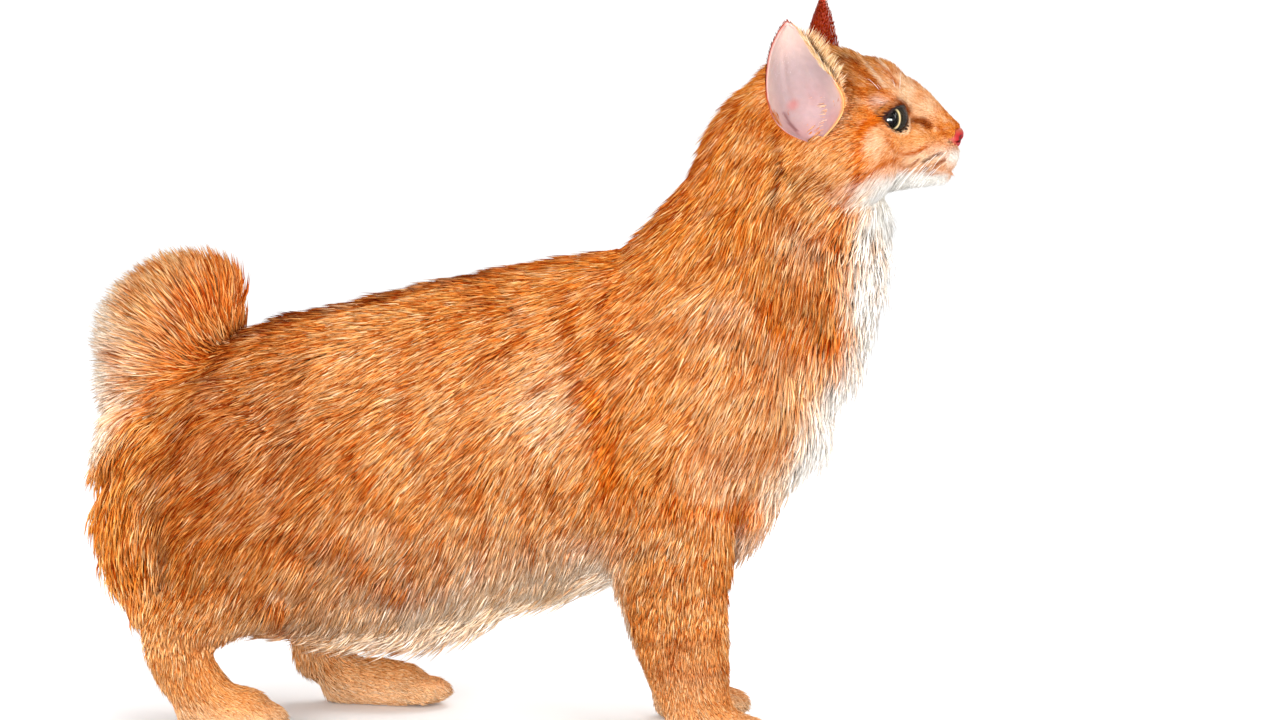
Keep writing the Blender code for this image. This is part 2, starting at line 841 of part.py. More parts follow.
def lower_leg_region(hind, side, low, high):
    """The slice between two heights that holds only that leg."""
    outline = [(y * side, z) for y, z in ((0, low), (FAR, low), (FAR, high), (0, high))]
    return prism("lower_leg", outline, *((-FAR, 0.0) if hind else (0.0, FAR)))


def leg_nodes(whole, names, hind, side):
    """The three lengths of one leg, cut from copies of the whole body."""
    cuts = (HIND_CUTS if hind else FORE_CUTS)[side]
    joint, ankle = (HIND_JOINT, HIND_ANKLE) if hind else (FORE_JOINT, FORE_ANKLE)
    upper, middle, foot = (copy_of(whole, name) for name in names)
    boolean(upper, upper_leg_region(cuts, side, joint), "INTERSECT")
    boolean(middle, lower_leg_region(hind, side, ankle, joint - GAP), "INTERSECT")
    boolean(foot, lower_leg_region(hind, side, -FAR, ankle - GAP), "INTERSECT")
    return {piece.name: largest_shell(piece) for piece in (upper, middle, foot)}


def without_legs(whole):
    """Takes every leg off the whole body."""
    for side in (1, -1):
        for hind in (False, True):
            cuts = (HIND_CUTS if hind else FORE_CUTS)[side]
            joint = HIND_JOINT if hind else FORE_JOINT
            boolean(whole, upper_leg_region(cuts, side, joint - GAP, GAP), "DIFFERENCE")
            boolean(whole, lower_leg_region(hind, side, -FAR, joint), "DIFFERENCE")


def body_nodes():
    """The neck, trunk and legs as separate nodes."""
    skin = one_skin(joined("whole", body_forms()), BODY_SKIN)
    outer = surface_of(skin)
    whole = sunk_skin(skin, BODY_PADS)
    bpy.data.objects.remove(skin, do_unlink=True)
    core = surface_of(whole)
    locks = []
    for patch in (BELLY_PATCH, THROAT_PATCH, CHEST_PATCH):
        locks += patch_locks(patch, core, outer)
    for side in (1, -1):
        locks += patch_locks(BREECHES_PATCH, core, outer, side)
    with_pieces(whole, locks)
    boolean(whole, half_space("over_floor", (0, 0, 0), (0, 0, 1), 0.0), "INTERSECT")
    legs = {}
    for side, hand in ((1, "left"), (-1, "right")):
        fore = [f"foreleg_{hand}_{part}" for part in ("upper", "forearm", "paw")]
        hind = [f"hindleg_{hand}_{part}" for part in ("thigh", "hock", "foot")]
        legs.update(leg_nodes(whole, fore, False, side))
        legs.update(leg_nodes(whole, hind, True, side))
    without_legs(whole)
    boolean(
        whole, half_space("tail_root", TAIL_PLANE_POINT, TAIL_PLANE_NORMAL, 0.0), "DIFFERENCE"
    )
    neck = copy_of(whole, "neck")
    for point, normal in (
        (HEAD_CUT_POINT, -NECK_CUT_NORMAL),
        (NECK_CUT_POINT, NECK_CUT_NORMAL),
    ):
        boolean(neck, half_space("neck_side", point, normal, GAP / 2), "INTERSECT")
    boolean(whole, half_space("neck_off", NECK_CUT_POINT, NECK_CUT_NORMAL, -GAP / 2), "DIFFERENCE")
    chest, abdomen = copy_of(whole, "chest"), whole
    place = Vector((TRUNK_CUT_X, 0.0, 0.0))
    boolean(chest, half_space("ribs", place, (1, 0, 0), GAP / 2), "INTERSECT")
    boolean(abdomen, half_space("loin", place, (-1, 0, 0), GAP / 2), "INTERSECT")
    trunk = {"neck": neck, "chest": chest, "abdomen": abdomen}
    nodes = {name: largest_shell(obj) for name, obj in trunk.items()}
    return {**nodes, **legs}


def swept(name, places, corners_at):
    """A closed bar through places, whose corners at each are given by a function."""
    shape = bmesh.new()
    rings = [[shape.verts.new(c * MM) for c in corners_at(place)] for place in places]
    for first, second in zip(rings, rings[1:]):
        for k in range(len(first)):
            after = (k + 1) % len(first)
            shape.faces.new((first[k], first[after], second[after], second[k]))
    shape.faces.new(rings[0])
    shape.faces.new(rings[-1])
    return from_bmesh(name, shape)


def eye_frame(side):
    """The matrix of an eye: Z along its line of sight, X across its lids."""
    axis = Vector((EYE_AXIS.x, EYE_AXIS.y * side, EYE_AXIS.z))
    centre = Vector((EYE_CENTRE.x, EYE_CENTRE.y * side, EYE_CENTRE.z))
    across = Vector((0.0, 0.0, 1.0)).cross(axis).normalized() * -side
    slant = Matrix.Rotation(LID_SLANT * side, 3, axis)
    across = slant @ across
    up = axis.cross(across)
    turn = Matrix((across, up, axis)).transposed().to_4x4()
    return Matrix.Translation(centre * MM) @ turn


def almond(side):
    """A bar along the eye's line of sight with the lids' almond outline."""
    outline = []
    for k in range(LID_POINTS):
        angle = k / LID_POINTS * 2 * math.pi
        high = math.copysign(abs(math.sin(angle)) ** 1.25, math.sin(angle))
        outline.append((LID_LONG * math.cos(angle), LID_HIGH * high))
    places = [Vector((0.0, 0.0, depth)) for depth in (0.0, 3 * EYE_RADIUS)]
    bar = swept("almond", places, lambda place: [place + Vector((u, v, 0)) for u, v in outline])
    bar.data.transform(eye_frame(side))
    return bar


def nose_block(grow):
    """The bar that holds the nose leather: broad above, narrow at the lip."""
    heights = [z + shift for z, shift in zip(NOSE_HEIGHTS, (grow, 0.0, -grow))]
    left = [(half + grow, z) for half, z in zip(NOSE_HALF_WIDTHS, heights)]
    outline = left + [(-y, z) for y, z in reversed(left)]
    return prism("nose_block", outline, NOSE_BACK_X - grow, NOSE_FRONT_X)


def mouth_line():
    """The points of the mouth from its left corner, under the nose, to its right corner."""
    left = [Vector(point) for point in MOUTH]
    return left + [Vector((p.x, -p.y, p.z)) for p in reversed(left[:-1])]


def mouth_outward(point):
    """The level direction out of the lips at a point of the mouth."""
    return Vector((point.x - MOUTH_CENTRE_X, point.y * MOUTH_SPREAD, 0.0)).normalized()


def mouth_slit():
    """A thin slit that follows the lips."""

    def corners(point):
        outward = mouth_outward(point)
        inner, outer = point - outward * MOUTH_DEPTH, point + outward * MOUTH_REACH
        up = Vector((0.0, 0.0, MOUTH_HALF_WIDTH))
        return inner - up, outer - up, outer + up, inner + up

    return swept("mouth_slit", mouth_line(), corners)


def lip(surface, height):
    """A rounded lip on the skin along the mouth, that far above or below it."""
    places = []
    for point in mouth_line():
        start = point - mouth_outward(point) * LIP_START + Vector((0.0, 0.0, height))
        hit = surface.ray_cast(start * MM, mouth_outward(point))[0]
        places.append(hit / MM)

    def corners(place):
        outward = mouth_outward(place) * LIP_THICKNESS
        up = Vector((0.0, 0.0, LIP_RADIUS))
        return place + outward, place + up, place - outward, place - up

    return swept("lip", places, corners)


def nostril(side):
    """A comma-shaped hollow in the nose leather."""
    turn = Matrix.Rotation(NOSTRIL_TURN * side, 4, "X")
    centre = Vector((NOSTRIL_CENTRE.x, NOSTRIL_CENTRE.y * side, NOSTRIL_CENTRE.z))
    return ellipsoid("nostril", centre, NOSTRIL_RADII, turn, 2)


def head_nodes():
    """The head, its nose leather and its eyes."""
    skin = one_skin(joined("whole_head", head_forms()), HEAD_SKIN)
    whole = sunk_skin(skin, BODY_PADS, head_matrix())
    bpy.data.objects.remove(skin, do_unlink=True)
    for side in (1, -1):
        boolean(whole, almond(side), "DIFFERENCE")
        boolean(whole, ear_hollow(side), "DIFFERENCE")
    nose = copy_of(whole, "nose")
    boolean(nose, nose_block(0.0), "INTERSECT")
    boolean(whole, nose_block(GAP), "DIFFERENCE")
    surface = surface_of(whole)
    with_pieces(whole, [lip(surface, height) for height in (LIP_HEIGHT, -LIP_HEIGHT)])
    boolean(whole, mouth_slit(), "DIFFERENCE")
    for side in (1, -1):
        boolean(nose, nostril(side), "DIFFERENCE")
        socket = ellipsoid(
            "socket", (EYE_CENTRE.x, EYE_CENTRE.y * side, EYE_CENTRE.z), [EYE_RADIUS + GAP] * 3
        )
        boolean(whole, socket, "DIFFERENCE")
    turned_with_head(whole)
    boolean(whole, half_space("head_side", HEAD_CUT_POINT, NECK_CUT_NORMAL, GAP / 2), "INTERSECT")
    nodes = {"head": largest_shell(whole), "nose": turned_with_head(largest_shell(nose))}
    for side, hand in ((1, "left"), (-1, "right")):
        centre = (EYE_CENTRE.x, EYE_CENTRE.y * side, EYE_CENTRE.z)
        eye = ellipsoid("eye", centre, [EYE_RADIUS] * 3)
        nodes[f"eye_{hand}"] = turned_with_head(eye)
    return nodes


def ear_axes(side):
    """The root of an ear and its directions: towards the tip, across it to the front, and out of it."""
    place = EARS[side]
    root, up, facing = (Vector((p[0], p[1] * side, p[2])) for p in place)
    up.normalize()
    facing = (facing - up * facing.dot(up)).normalized()
    return root, up, up.cross(facing) * side, facing


def ear(side):
    """One ear: a cupped sheet, deepest at its root, with a rounded tip."""
    root, up, across, facing = ear_axes(side)
    rows, columns = EAR_ROWS, EAR_COLUMNS
    widths = np.interp(
        np.arange(rows + 1) / rows * (len(EAR_HALF_WIDTHS) - 1),
        range(len(EAR_HALF_WIDTHS)),
        EAR_HALF_WIDTHS,
    )
    shape = bmesh.new()
    sheets = []
    for inset in (0.0, EAR_THICKNESS):
        grid = []
        for i, width in enumerate(widths):
            share = i / rows
            height = -EAR_SUNK + (EAR_HEIGHT + EAR_SUNK) * share
            spread = math.radians(EAR_SPREAD_LOW + (EAR_SPREAD_TIP - EAR_SPREAD_LOW) * share)
            radius = width / math.sin(min(spread, math.pi / 2))
            line = []
            for j in range(columns + 1):
                turn = (2 * j / columns - 1) * spread
                inner = radius - inset * math.cos(turn / 2)
                forward = EAR_FORWARD - EAR_LEAN * share * share - inner * math.cos(turn)
                forward += radius * (EAR_CUP + (1 - EAR_CUP) * math.cos(spread))
                point = root + up * (height - inset * share) + facing * forward
                line.append(shape.verts.new((point + across * inner * math.sin(turn)) * MM))
            grid.append(line)
        sheets.append(grid)
    outer, inner = sheets
    for i in range(rows):
        for j in range(columns):
            shape.faces.new((outer[i][j], outer[i][j + 1], outer[i + 1][j + 1], outer[i + 1][j]))
            shape.faces.new((inner[i][j], inner[i + 1][j], inner[i + 1][j + 1], inner[i][j + 1]))
        for j in (0, columns):
            shape.faces.new((outer[i][j], outer[i + 1][j], inner[i + 1][j], inner[i][j]))
    for i in (0, rows):
        for j in range(columns):
            shape.faces.new((outer[i][j], outer[i][j + 1], inner[i][j + 1], inner[i][j]))
    return from_bmesh("ear", shape)


def ear_hollow(side):
    """The ellipsoid that hollows the head at the foot of an ear."""
    root, up, across, facing = ear_axes(side)
    turn = Matrix((across, facing, up)).transposed().to_4x4()
    centre = root + facing * CONCHA_FORWARD + up * CONCHA_UP
    return ellipsoid("concha", centre, CONCHA_RADII, turn)


def grown_copy(obj, distance):
    """A copy of a closed mesh, pushed out along its normals."""
    made = copy_of(obj, obj.name + "_grown")
    push = made.modifiers.new("Grow", "DISPLACE")
    push.strength = distance * MM
    push.mid_level = 0.0
    return evaluated(made)


def ear_nodes(head):
    """Both ears, cut to stand on the head."""
    nodes = {}
    for side, hand in ((1, "left"), (-1, "right")):
        piece = turned_with_head(ear(side))
        boolean(piece, grown_copy(head, GAP), "DIFFERENCE")
        nodes[f"ear_{hand}"] = largest_shell(piece)
    return nodes


def pompom(bulbs, skin):
    """One smooth skin round the bulbs of the tail."""
    parts = [ellipsoid("bulb", bulb[:3], bulb[3:]) for bulb in bulbs]
    return one_skin(joined("pompom", parts), skin)


def tail_node():
    """The bobtail: locks over a core, beyond the slanted plane of its root."""
    skin = pompom(TAIL_BULBS, TAIL_OUTER_SKIN)
    core = pompom(TAIL_CORE_BULBS, TAIL_CORE_SKIN)
    with_pieces(core, pompom_locks(surface_of(core), surface_of(skin)))
    bpy.data.objects.remove(skin, do_unlink=True)
    root = half_space("tail_side", TAIL_PLANE_POINT, TAIL_PLANE_NORMAL, GAP)
    return largest_shell(boolean(core, root, "INTERSECT"))


def main():
    """Builds every node of the cat."""
    clear_scene()
    coat = material("coat_orange", COAT_ORANGE, 0.85)
    finishes = {
        "nose": material("nose_leather", NOSE_PINK, 0.45),
        "eye_left": material("eye", EYE_GREEN, 0.08),
        "ear_left": material("ear_skin", EAR_PINK, 0.6),
        "tail": material("tail_coat", COAT_CREAM, 0.9),
    }
    finishes["eye_right"] = finishes["eye_left"]
    finishes["ear_right"] = finishes["ear_left"]
    nodes = body_nodes()
    nodes.update(head_nodes())
    nodes.update(ear_nodes(nodes["head"]))
    nodes["tail"] = tail_node()
    cat = bpy.data.objects.new("cat", None)
    cat.location.x = -MIDDLE_X * MM
    bpy.context.scene.collection.objects.link(cat)
    for name, obj in nodes.items():
        finished(obj, name, finishes.get(name, coat), cat)
    bpy.context.view_layer.update()


if __name__ == "__main__":
    main()
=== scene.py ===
"""A life-size Kurilian bobtail cat in its coat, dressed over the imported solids.

The cat faces +X, its left side is +Y and it stands on z = 0. Shapes are worked out in millimetres
in the modelling frame of the solids, whose origin lies OFFSET_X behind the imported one, and are
turned into metres where a mesh is made.
"""

import logging
import math
from dataclasses import dataclass
from enum import Enum
from typing import Callable, NamedTuple, Optional, Sequence

import bmesh
import bpy
import numpy as np
from bpy.types import Material, Mesh, Node, NodeSocket, NodeTree, Object
from mathutils import Matrix, Vector
from mathutils.bvhtree import BVHTree


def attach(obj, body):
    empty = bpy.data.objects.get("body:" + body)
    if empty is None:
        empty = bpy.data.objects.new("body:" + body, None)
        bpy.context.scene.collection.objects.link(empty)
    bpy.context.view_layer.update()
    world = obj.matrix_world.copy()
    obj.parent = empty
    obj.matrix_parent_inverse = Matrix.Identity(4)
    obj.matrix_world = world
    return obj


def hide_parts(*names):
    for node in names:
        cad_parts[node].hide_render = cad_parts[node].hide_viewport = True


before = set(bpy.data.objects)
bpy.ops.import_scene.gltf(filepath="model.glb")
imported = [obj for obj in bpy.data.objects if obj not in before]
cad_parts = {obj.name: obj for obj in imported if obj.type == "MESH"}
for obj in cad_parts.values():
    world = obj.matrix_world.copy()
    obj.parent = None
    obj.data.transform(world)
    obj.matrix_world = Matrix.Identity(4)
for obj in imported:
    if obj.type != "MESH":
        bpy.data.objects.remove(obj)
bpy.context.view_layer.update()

LOG = logging.getLogger("cat")
MM = 0.001
OFFSET_X = 9.25
SEED = 5
HANDS = {1: "left", -1: "right"}
Points = np.ndarray

HEAD_PIVOT = np.array((160.0, 0.0, 330.0))
HEAD_ROLL = math.radians(7.0)
HEAD_YAW = math.radians(5.0)
HEAD_CUT_POINT = np.array((146.0, 0.0, 323.0))
HEAD_CUT_NORMAL = np.array((0.64, 0.0, 0.77))
TAIL_CUT_POINT = np.array((-192.0, 0.0, 190.0))
TAIL_CUT_NORMAL = np.array((-0.66, 0.0, 0.75))
TAIL_ROOT = np.array((-184.0, 0.0, 186.0))


class Station(NamedTuple):
    """One section of a loft: centre, half width, and reach above and below the centre."""

    x: float
    y: float
    z: float
    half_width: float
    above: float
    below: float


class Bulb(NamedTuple):
    """An ellipsoid: its centre and its radii."""

    x: float
    y: float
    z: float
    rx: float
    ry: float
    rz: float


def upright(x: float, top: float, bottom: float, half_width: float) -> Station:
    """A station of the trunk from its top and bottom lines."""
    middle = bottom + (top - bottom) * 0.45
    return Station(x, 0.0, middle, half_width, top - middle, middle - bottom)


TRUNK = (
    upright(-240, 152, 92, 26),
    upright(-222, 178, 70, 41),
    upright(-192, 204, 58, 53),
    upright(-155, 223, 50, 59),
    upright(-110, 235, 46, 61),
    upright(-62, 247, 47, 62),
    upright(-15, 257, 64, 64),
    upright(35, 266, 79, 63),
    upright(80, 272, 90, 60),
    upright(118, 262, 104, 55),
    upright(142, 246, 138, 46),
    upright(158, 228, 160, 33),
)
NECK = (
    Station(78, 0, 205, 54, 66, 70),
    Station(108, 0, 240, 50, 60, 81),
    Station(136, 0, 278, 46, 58, 65),
    Station(151, 0, 318, 43, 53, 48),
    Station(164, 0, 338, 36, 42, 40),
)
FORELEG = (
    Station(84, 44, 176, 20, 32, 34),
    Station(84, 44, 140, 21, 36, 36),
    Station(84, 40, 104, 21, 37, 33),
    Station(88, 37, 74, 19, 29, 28),
    Station(93, 37, 46, 17, 25, 24),
    Station(98, 37, 24, 16, 20, 20),
    Station(102, 37, 13, 15, 19, 17),
)
FORE_PAW = (
    Station(88, 37, 10, 14, 12, 12),
    Station(102, 37, 11, 18, 14, 13),
    Station(118, 37, 9, 18, 11, 11),
)
FORE_TOES = ((122, 26, 8.5), (128, 33, 9.0), (128, 41, 9.0), (122, 48, 8.5))
FORE_STEP = {1: -21.0, -1: -1.0}
THIGH = (
    Station(-172, 29, 186, 20, 28, 30),
    Station(-166, 35, 158, 31, 42, 54),
    Station(-158, 38, 122, 32, 52, 62),
    Station(-148, 38, 88, 28, 44, 56),
)
BREECHES = (
    Station(-200, 24, 165, 26, 34, 36),
    Station(-206, 26, 125, 29, 36, 40),
    Station(-203, 28, 92, 26, 34, 38),
    Station(-196, 32, 66, 20, 26, 26),
)
RIGHT_SHANK = (
    Station(-150, -42, 92, 22, 34, 34),
    Station(-176, -43, 72, 20, 26, 30),
    Station(-194, -44, 54, 16, 20, 20),
    Station(-190, -45, 34, 15, 20, 17),
    Station(-178, -45, 18, 15, 18, 16),
)
RIGHT_FOOT = (
    Station(-186, -45, 14, 14, 14, 15.5),
    Station(-168, -45, 13, 16, 14, 15.5),
    Station(-150, -45, 11, 18, 14, 13.5),
)
LEFT_SHANK = (
    Station(-112, 44, 96, 22, 34, 34),
    Station(-124, 45, 66, 19, 28, 28),
    Station(-134, 46, 38, 15, 20, 20),
    Station(-136, 46, 20, 14, 16, 15),
)
LEFT_FOOT = (
    Station(-128, 46, 13, 14, 13, 15.5),
    Station(-106, 46, 13, 15, 14, 15.5),
    Station(-82, 46, 11, 18, 13, 13.5),
)
HIND_TOES = ((0, -11, 8.0), (6, -4, 8.5), (6, 4, 8.5), (0, 11, 8.0))
FORE_TOE_RADII = (11.0, 5.4, 8.6)
HIND_TOE_RADII = (11.0, 5.2, 8.2)
HIND_TOES_AT = ((-145.0, -45.0), (-73.0, 46.0))
TAIL_CORE = (
    Bulb(-210, 0, 210, 24, 24, 31),
    Bulb(-196, 0, 228, 24, 22, 20),
    Bulb(-225, 0, 180, 14, 18, 22),
    Bulb(-188, 0, 203, 20, 23, 22),
)
BRIDGE = (
    Station(186, 0, 344, 22, 24, 16),
    Station(202, 0, 345, 14, 17, 14),
    Station(214, 0, 340, 10, 12.5, 12),
    Station(225, 0, 334, 8.5, 8.8, 9),
    Station(232, 0, 330.5, 8.0, 6.4, 7),
)
JAW = (
    Station(160, 0, 318, 30, 18, 18),
    Station(190, 0, 313, 21, 14, 13.5),
    Station(212, 0, 311.5, 13, 9, 9),
    Station(222, 0, 311.5, 9.0, 7, 7.5),
)
SKULL = (
    Bulb(160, 0, 343, 41, 37, 34),
    Bulb(186, 0, 350, 22, 23, 20.5),
    Bulb(208, 0, 328, 20, 14, 14),
    Bulb(222, 0, 310.5, 8.5, 9.5, 6.5),
)
PAIRED_SKULL = (
    Bulb(170, 23, 320, 33, 25, 26),
    Bulb(185, 24, 332, 19, 17, 12),
    Bulb(203, 13, 325, 19, 13, 13),
    Bulb(191, 15, 354, 12, 11, 7.5),
    Bulb(221, 8.5, 320.5, 12.5, 10.4, 9.2),
    Bulb(141, 21, 348, 20, 15, 18),
)
EYE_RADIUS = 10.5
EYE_CENTRE = np.array((196.0, 19.0, 342.5))
EYE_AXIS = np.array((0.80, 0.59, 0.08))
LID_THICKNESS = 1.3
LID_LONG = 9.4
LID_OUTER = 9.0
LID_HIGH = 6.7
LID_SLANT = math.radians(-7.0)
MOUTH = (
    (204.5, 22.5, 314.2),
    (209.0, 21.0, 313.0),
    (215.0, 18.5, 312.2),
    (221.0, 15.0, 312.6),
    (226.5, 10.0, 313.8),
    (230.0, 5.0, 315.0),
    (231.5, 0.0, 316.4),
)
MOUTH_CENTRE_X = 198.0


def unit(vector: Sequence[float]) -> Points:
    """A direction of length one."""
    array = np.asarray(vector, float)
    return array / np.linalg.norm(array)


def head_turn() -> Points:
    """The 4 by 4 matrix from the head's own frame to where the head is held."""
    pivot = Matrix.Translation(Vector(HEAD_PIVOT))
    turn = Matrix.Rotation(HEAD_YAW, 4, "Z") @ Matrix.Rotation(HEAD_ROLL, 4, "X")
    return np.array(pivot @ turn @ pivot.inverted())


HEAD_TURN = head_turn()
HEAD_BACK = np.linalg.inv(HEAD_TURN)


def moved(points: Points, matrix: Points) -> Points:
    """Points taken through a 4 by 4 matrix."""
    return np.asarray(points, float) @ matrix[:3, :3].T + matrix[:3, 3]


def fade(low: float, high: float, value: Points) -> Points:
    """A smooth step from 0 at low to 1 at high, or down where low is the larger."""
    share = np.clip((value - low) / (high - low), 0.0, 1.0)
    return share * share * (3.0 - 2.0 * share)


def grain(points: Points, scale: float, seed: int) -> Points:
    """Smooth random values from -1 to 1.

    Args:
        points: Where they are wanted, in millimetres.
        scale: The size of one patch, in millimetres.
        seed: Which pattern.

    Returns:
        One value for each point.
    """
    place = points / scale + seed * 17.31
    cell = np.floor(place).astype(np.int64)
    share = place - cell
    share = share * share * (3 - 2 * share)
    total = np.zeros(len(points))
    for corner in range(8):
        step = np.array((corner & 1, corner >> 1 & 1, corner >> 2 & 1))
        at = cell + step
        key = at[:, 0] * 73856093 ^ at[:, 1] * 19349663 ^ at[:, 2] * 83492791 ^ seed * 2654435761
        key = (key ^ (key >> 13)) * 1274126177
        value = ((key ^ (key >> 16)) & 0xFFFF) / 32767.5 - 1.0
        total += value * np.prod(np.where(step, share, 1 - share), axis=1)
    return total


@dataclass(frozen=True)
class View:
    """The photo's camera: what it looks at in the modelling frame, from where, and how wide."""

    target: tuple[float, float, float] = (60.0, 0.0, 206.0)
    azimuth: float = 10.0
    elevation: float = 6.0
    distance: float = 2000.0
    frame_width: float = 704.0
    picture: tuple[int, int] = (1280, 720)

    def back(self) -> Points:
        """The direction from the target to the camera."""
        a, e = math.radians(self.azimuth), math.radians(self.elevation)
        return np.array((math.sin(a) * math.cos(e), -math.cos(a) * math.cos(e), math.sin(e)))

    def pixels(self, points: Points) -> Points:
        """Where points show in the photo, in its pixels from the top left."""
        back = self.back()
        right = unit(np.cross((0.0, 0.0, 1.0), back))
        away = points - self.target
        scale = self.picture[0] / self.frame_width * self.distance / (self.distance - away @ back)
        across = away @ right * scale + self.picture[0] / 2
        down = self.picture[1] / 2 - away @ np.cross(back, right) * scale
        return np.stack([across, down], axis=1)


VIEW = View()


def along_curve(points: Points, curve: Sequence[Sequence[float]]) -> Points:
    """How far each point lies from a line of straight lengths."""
    nearest = np.full(len(points), 1e9)
    line = np.asarray(curve, float)
    for start, end in zip(line, line[1:]):
        way = end - start
        share = np.clip((points - start) @ way / (way @ way), 0, 1)
        nearest = np.minimum(nearest, np.linalg.norm(points - start - share[:, None] * way, axis=1))
    return nearest


class Solid(NamedTuple):
    """A closed form: its points in millimetres and its faces."""

    points: Points
    faces: list


def smooth_stations(stations: Sequence[Station], steps: int) -> Points:
    """The stations with a smooth curve's points between them."""
    rows = np.array(stations, float)
    padded = np.vstack([2 * rows[0] - rows[1], rows, 2 * rows[-1] - rows[-2]])
    out = []
    for i in range(1, len(padded) - 2):
        before, start, end, after = padded[i - 1 : i + 3]
        for t in np.arange(steps) / steps:
            bend = before - 2.5 * start + 2 * end - 0.5 * after
            turn = after - 3 * end + 3 * start - before
            out.append(start + 0.5 * t * (end - before) + t * t * bend + 0.5 * t**3 * turn)
    out.append(rows[-1])
    return np.array(out)


def section_frame(tangent: Points) -> tuple[Points, Points, Points]:
    """The forward, side and up directions of a section across a tangent."""
    forward = unit(tangent)
    side = unit(np.array((0.0, 1.0, 0.0)) - forward[1] * forward)
    return forward, side, np.cross(forward, side)


def loft(
    stations: Sequence[Station],
    standing: bool = False,
    domes: tuple[float, float] = (0.55, 0.55),
    sides: int = 40,
) -> Solid:
    """A closed skin through stations.

    Args:
        stations: The sections in order.
        standing: Whether every section is upright instead of across the path.
        domes: The reaches of the rounded ends as shares of their sections.
        sides: The points round a section.

    Returns:
        The closed form.
    """
    rows = smooth_stations(stations, 6)
    tangents = np.gradient(rows[:, :3], axis=0)
    if standing:
        tangents[:] = (1.0, 0.0, 0.0)
    angles = np.arange(sides) / sides * 2 * math.pi
    across, along = np.cos(angles), np.sin(angles)
    ends = []
    for end, dome in zip((0, -1), domes):
        forward = section_frame(tangents[end])[0] * (-1 if end == 0 else 1)
        reach = dome * min(rows[end][3], (rows[end][4] + rows[end][5]) / 2)
        turns = [math.radians(a) for a in (88, 68, 45, 22)]
        ends.append([(forward * reach * math.sin(a), math.cos(a)) for a in turns])
    plan = [(0, shift, scale) for shift, scale in ends[0]]
    plan += [(i, np.zeros(3), 1.0) for i in range(len(rows))]
    plan += [(len(rows) - 1, shift, scale) for shift, scale in reversed(ends[1])]
    rings = []
    for index, shift, scale in plan:
        row = rows[index]
        _, side, up = section_frame(tangents[index])
        reach = np.where(along > 0, row[4], row[5]) * along * scale
        rings.append(row[:3] + shift + np.outer(across * row[3] * scale, side) + np.outer(reach, up))
    faces = ring_faces(len(rings), sides)
    return Solid(np.vstack(rings), faces)


def ring_faces(rings: int, sides: int) -> list:
    """The faces of a tube of rings with a flat cap on each end."""
    faces = []
    for ring in range(rings - 1):
        low = ring * sides
        for k in range(sides):
            after = (k + 1) % sides
            faces.append((low + k, low + after, low + sides + after, low + sides + k))
    faces.append(tuple(reversed(range(sides))))
    faces.append(tuple(range((rings - 1) * sides, rings * sides)))
    return faces


def ellipsoid(centre: Sequence[float], radii: Sequence[float], fine: int = 4) -> Solid:
    """A closed ellipsoid with its axes along the frame's."""
    shape = bmesh.new()
    bmesh.ops.create_icosphere(shape, subdivisions=fine, radius=1.0)
    points = np.array([v.co for v in shape.verts]) * np.asarray(radii) + np.asarray(centre)
    faces = [tuple(v.index for v in f.verts) for f in shape.faces]
    shape.free()
    return Solid(points, faces)


def turned(solid: Solid, matrix: Points = HEAD_TURN) -> Solid:
    """A form taken through a matrix."""
    return Solid(moved(solid.points, matrix), solid.faces)


def mirrored(stations: Sequence[Station], side: int, shift: float = 0.0) -> list:
    """A left limb's stations on the side asked for, moved along X."""
    return [s._replace(y=s.y * side, x=s.x + shift) for s in stations]


def mesh_of(name: str, solids: Sequence[Solid]) -> Object:
    """Forms given in millimetres as one object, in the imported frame's metres."""
    points, faces, start = [], [], 0
    for solid in solids:
        points.append(solid.points)
        faces += [tuple(int(i) + start for i in face) for face in solid.faces]
        start += len(solid.points)
    mesh = bpy.data.meshes.new(name)
    placed = (np.vstack(points) + (OFFSET_X, 0.0, 0.0)) * MM
    mesh.from_pydata(placed.tolist(), [], faces)
    mesh.update()
    obj = bpy.data.objects.new(name, mesh)
    bpy.context.scene.collection.objects.link(obj)
    return obj


def outwards(obj: Object) -> Object:
    """Turns a closed mesh's faces outwards."""
    shape = bmesh.new()
    shape.from_mesh(obj.data)
    bmesh.ops.recalc_face_normals(shape, faces=shape.faces)
    shape.to_mesh(obj.data)
    shape.free()
    return obj


def places(obj: Object) -> Points:
    """The points of a mesh in millimetres of the modelling frame."""
    points = np.empty(len(obj.data.vertices) * 3)
    obj.data.vertices.foreach_get("co", points)
    return points.reshape(-1, 3) / MM - (OFFSET_X, 0.0, 0.0)


def set_places(obj: Object, points: Points) -> None:
    """Gives a mesh new points, in millimetres of the modelling frame."""
    obj.data.vertices.foreach_set("co", ((points + (OFFSET_X, 0.0, 0.0)) * MM).ravel())
    obj.data.update()


def normals(obj: Object) -> Points:
    """The directions out of a mesh at its points."""
    out = np.empty(len(obj.data.vertices) * 3)
    obj.data.vertices.foreach_get("normal", out)
    return out.reshape(-1, 3)


def baked(obj: Object) -> Object:
    """Puts the evaluated mesh in place of the object's own and takes its modifiers off."""
    bpy.context.view_layer.update()
    graph = bpy.context.evaluated_depsgraph_get()
    mesh = bpy.data.meshes.new_from_object(obj.evaluated_get(graph))
    obj.modifiers.clear()
    old = obj.data
    obj.data = mesh
    bpy.data.meshes.remove(old)
    mesh.name = obj.name
    return obj


def remeshed(obj: Object, voxel: float) -> Object:
    """Fuses an object's forms into one skin, with faces of the given size in millimetres."""
    modifier = obj.modifiers.new("Skin", "REMESH")
    modifier.mode = "VOXEL"
    modifier.voxel_size = voxel * MM
    return baked(obj)


def tint(colour: Points, shade: Sequence[float] | Points, share: Points) -> None:
    """Lays a colour over others, by a share at each point."""
    colour += (np.asarray(shade) - colour) * share[:, None]


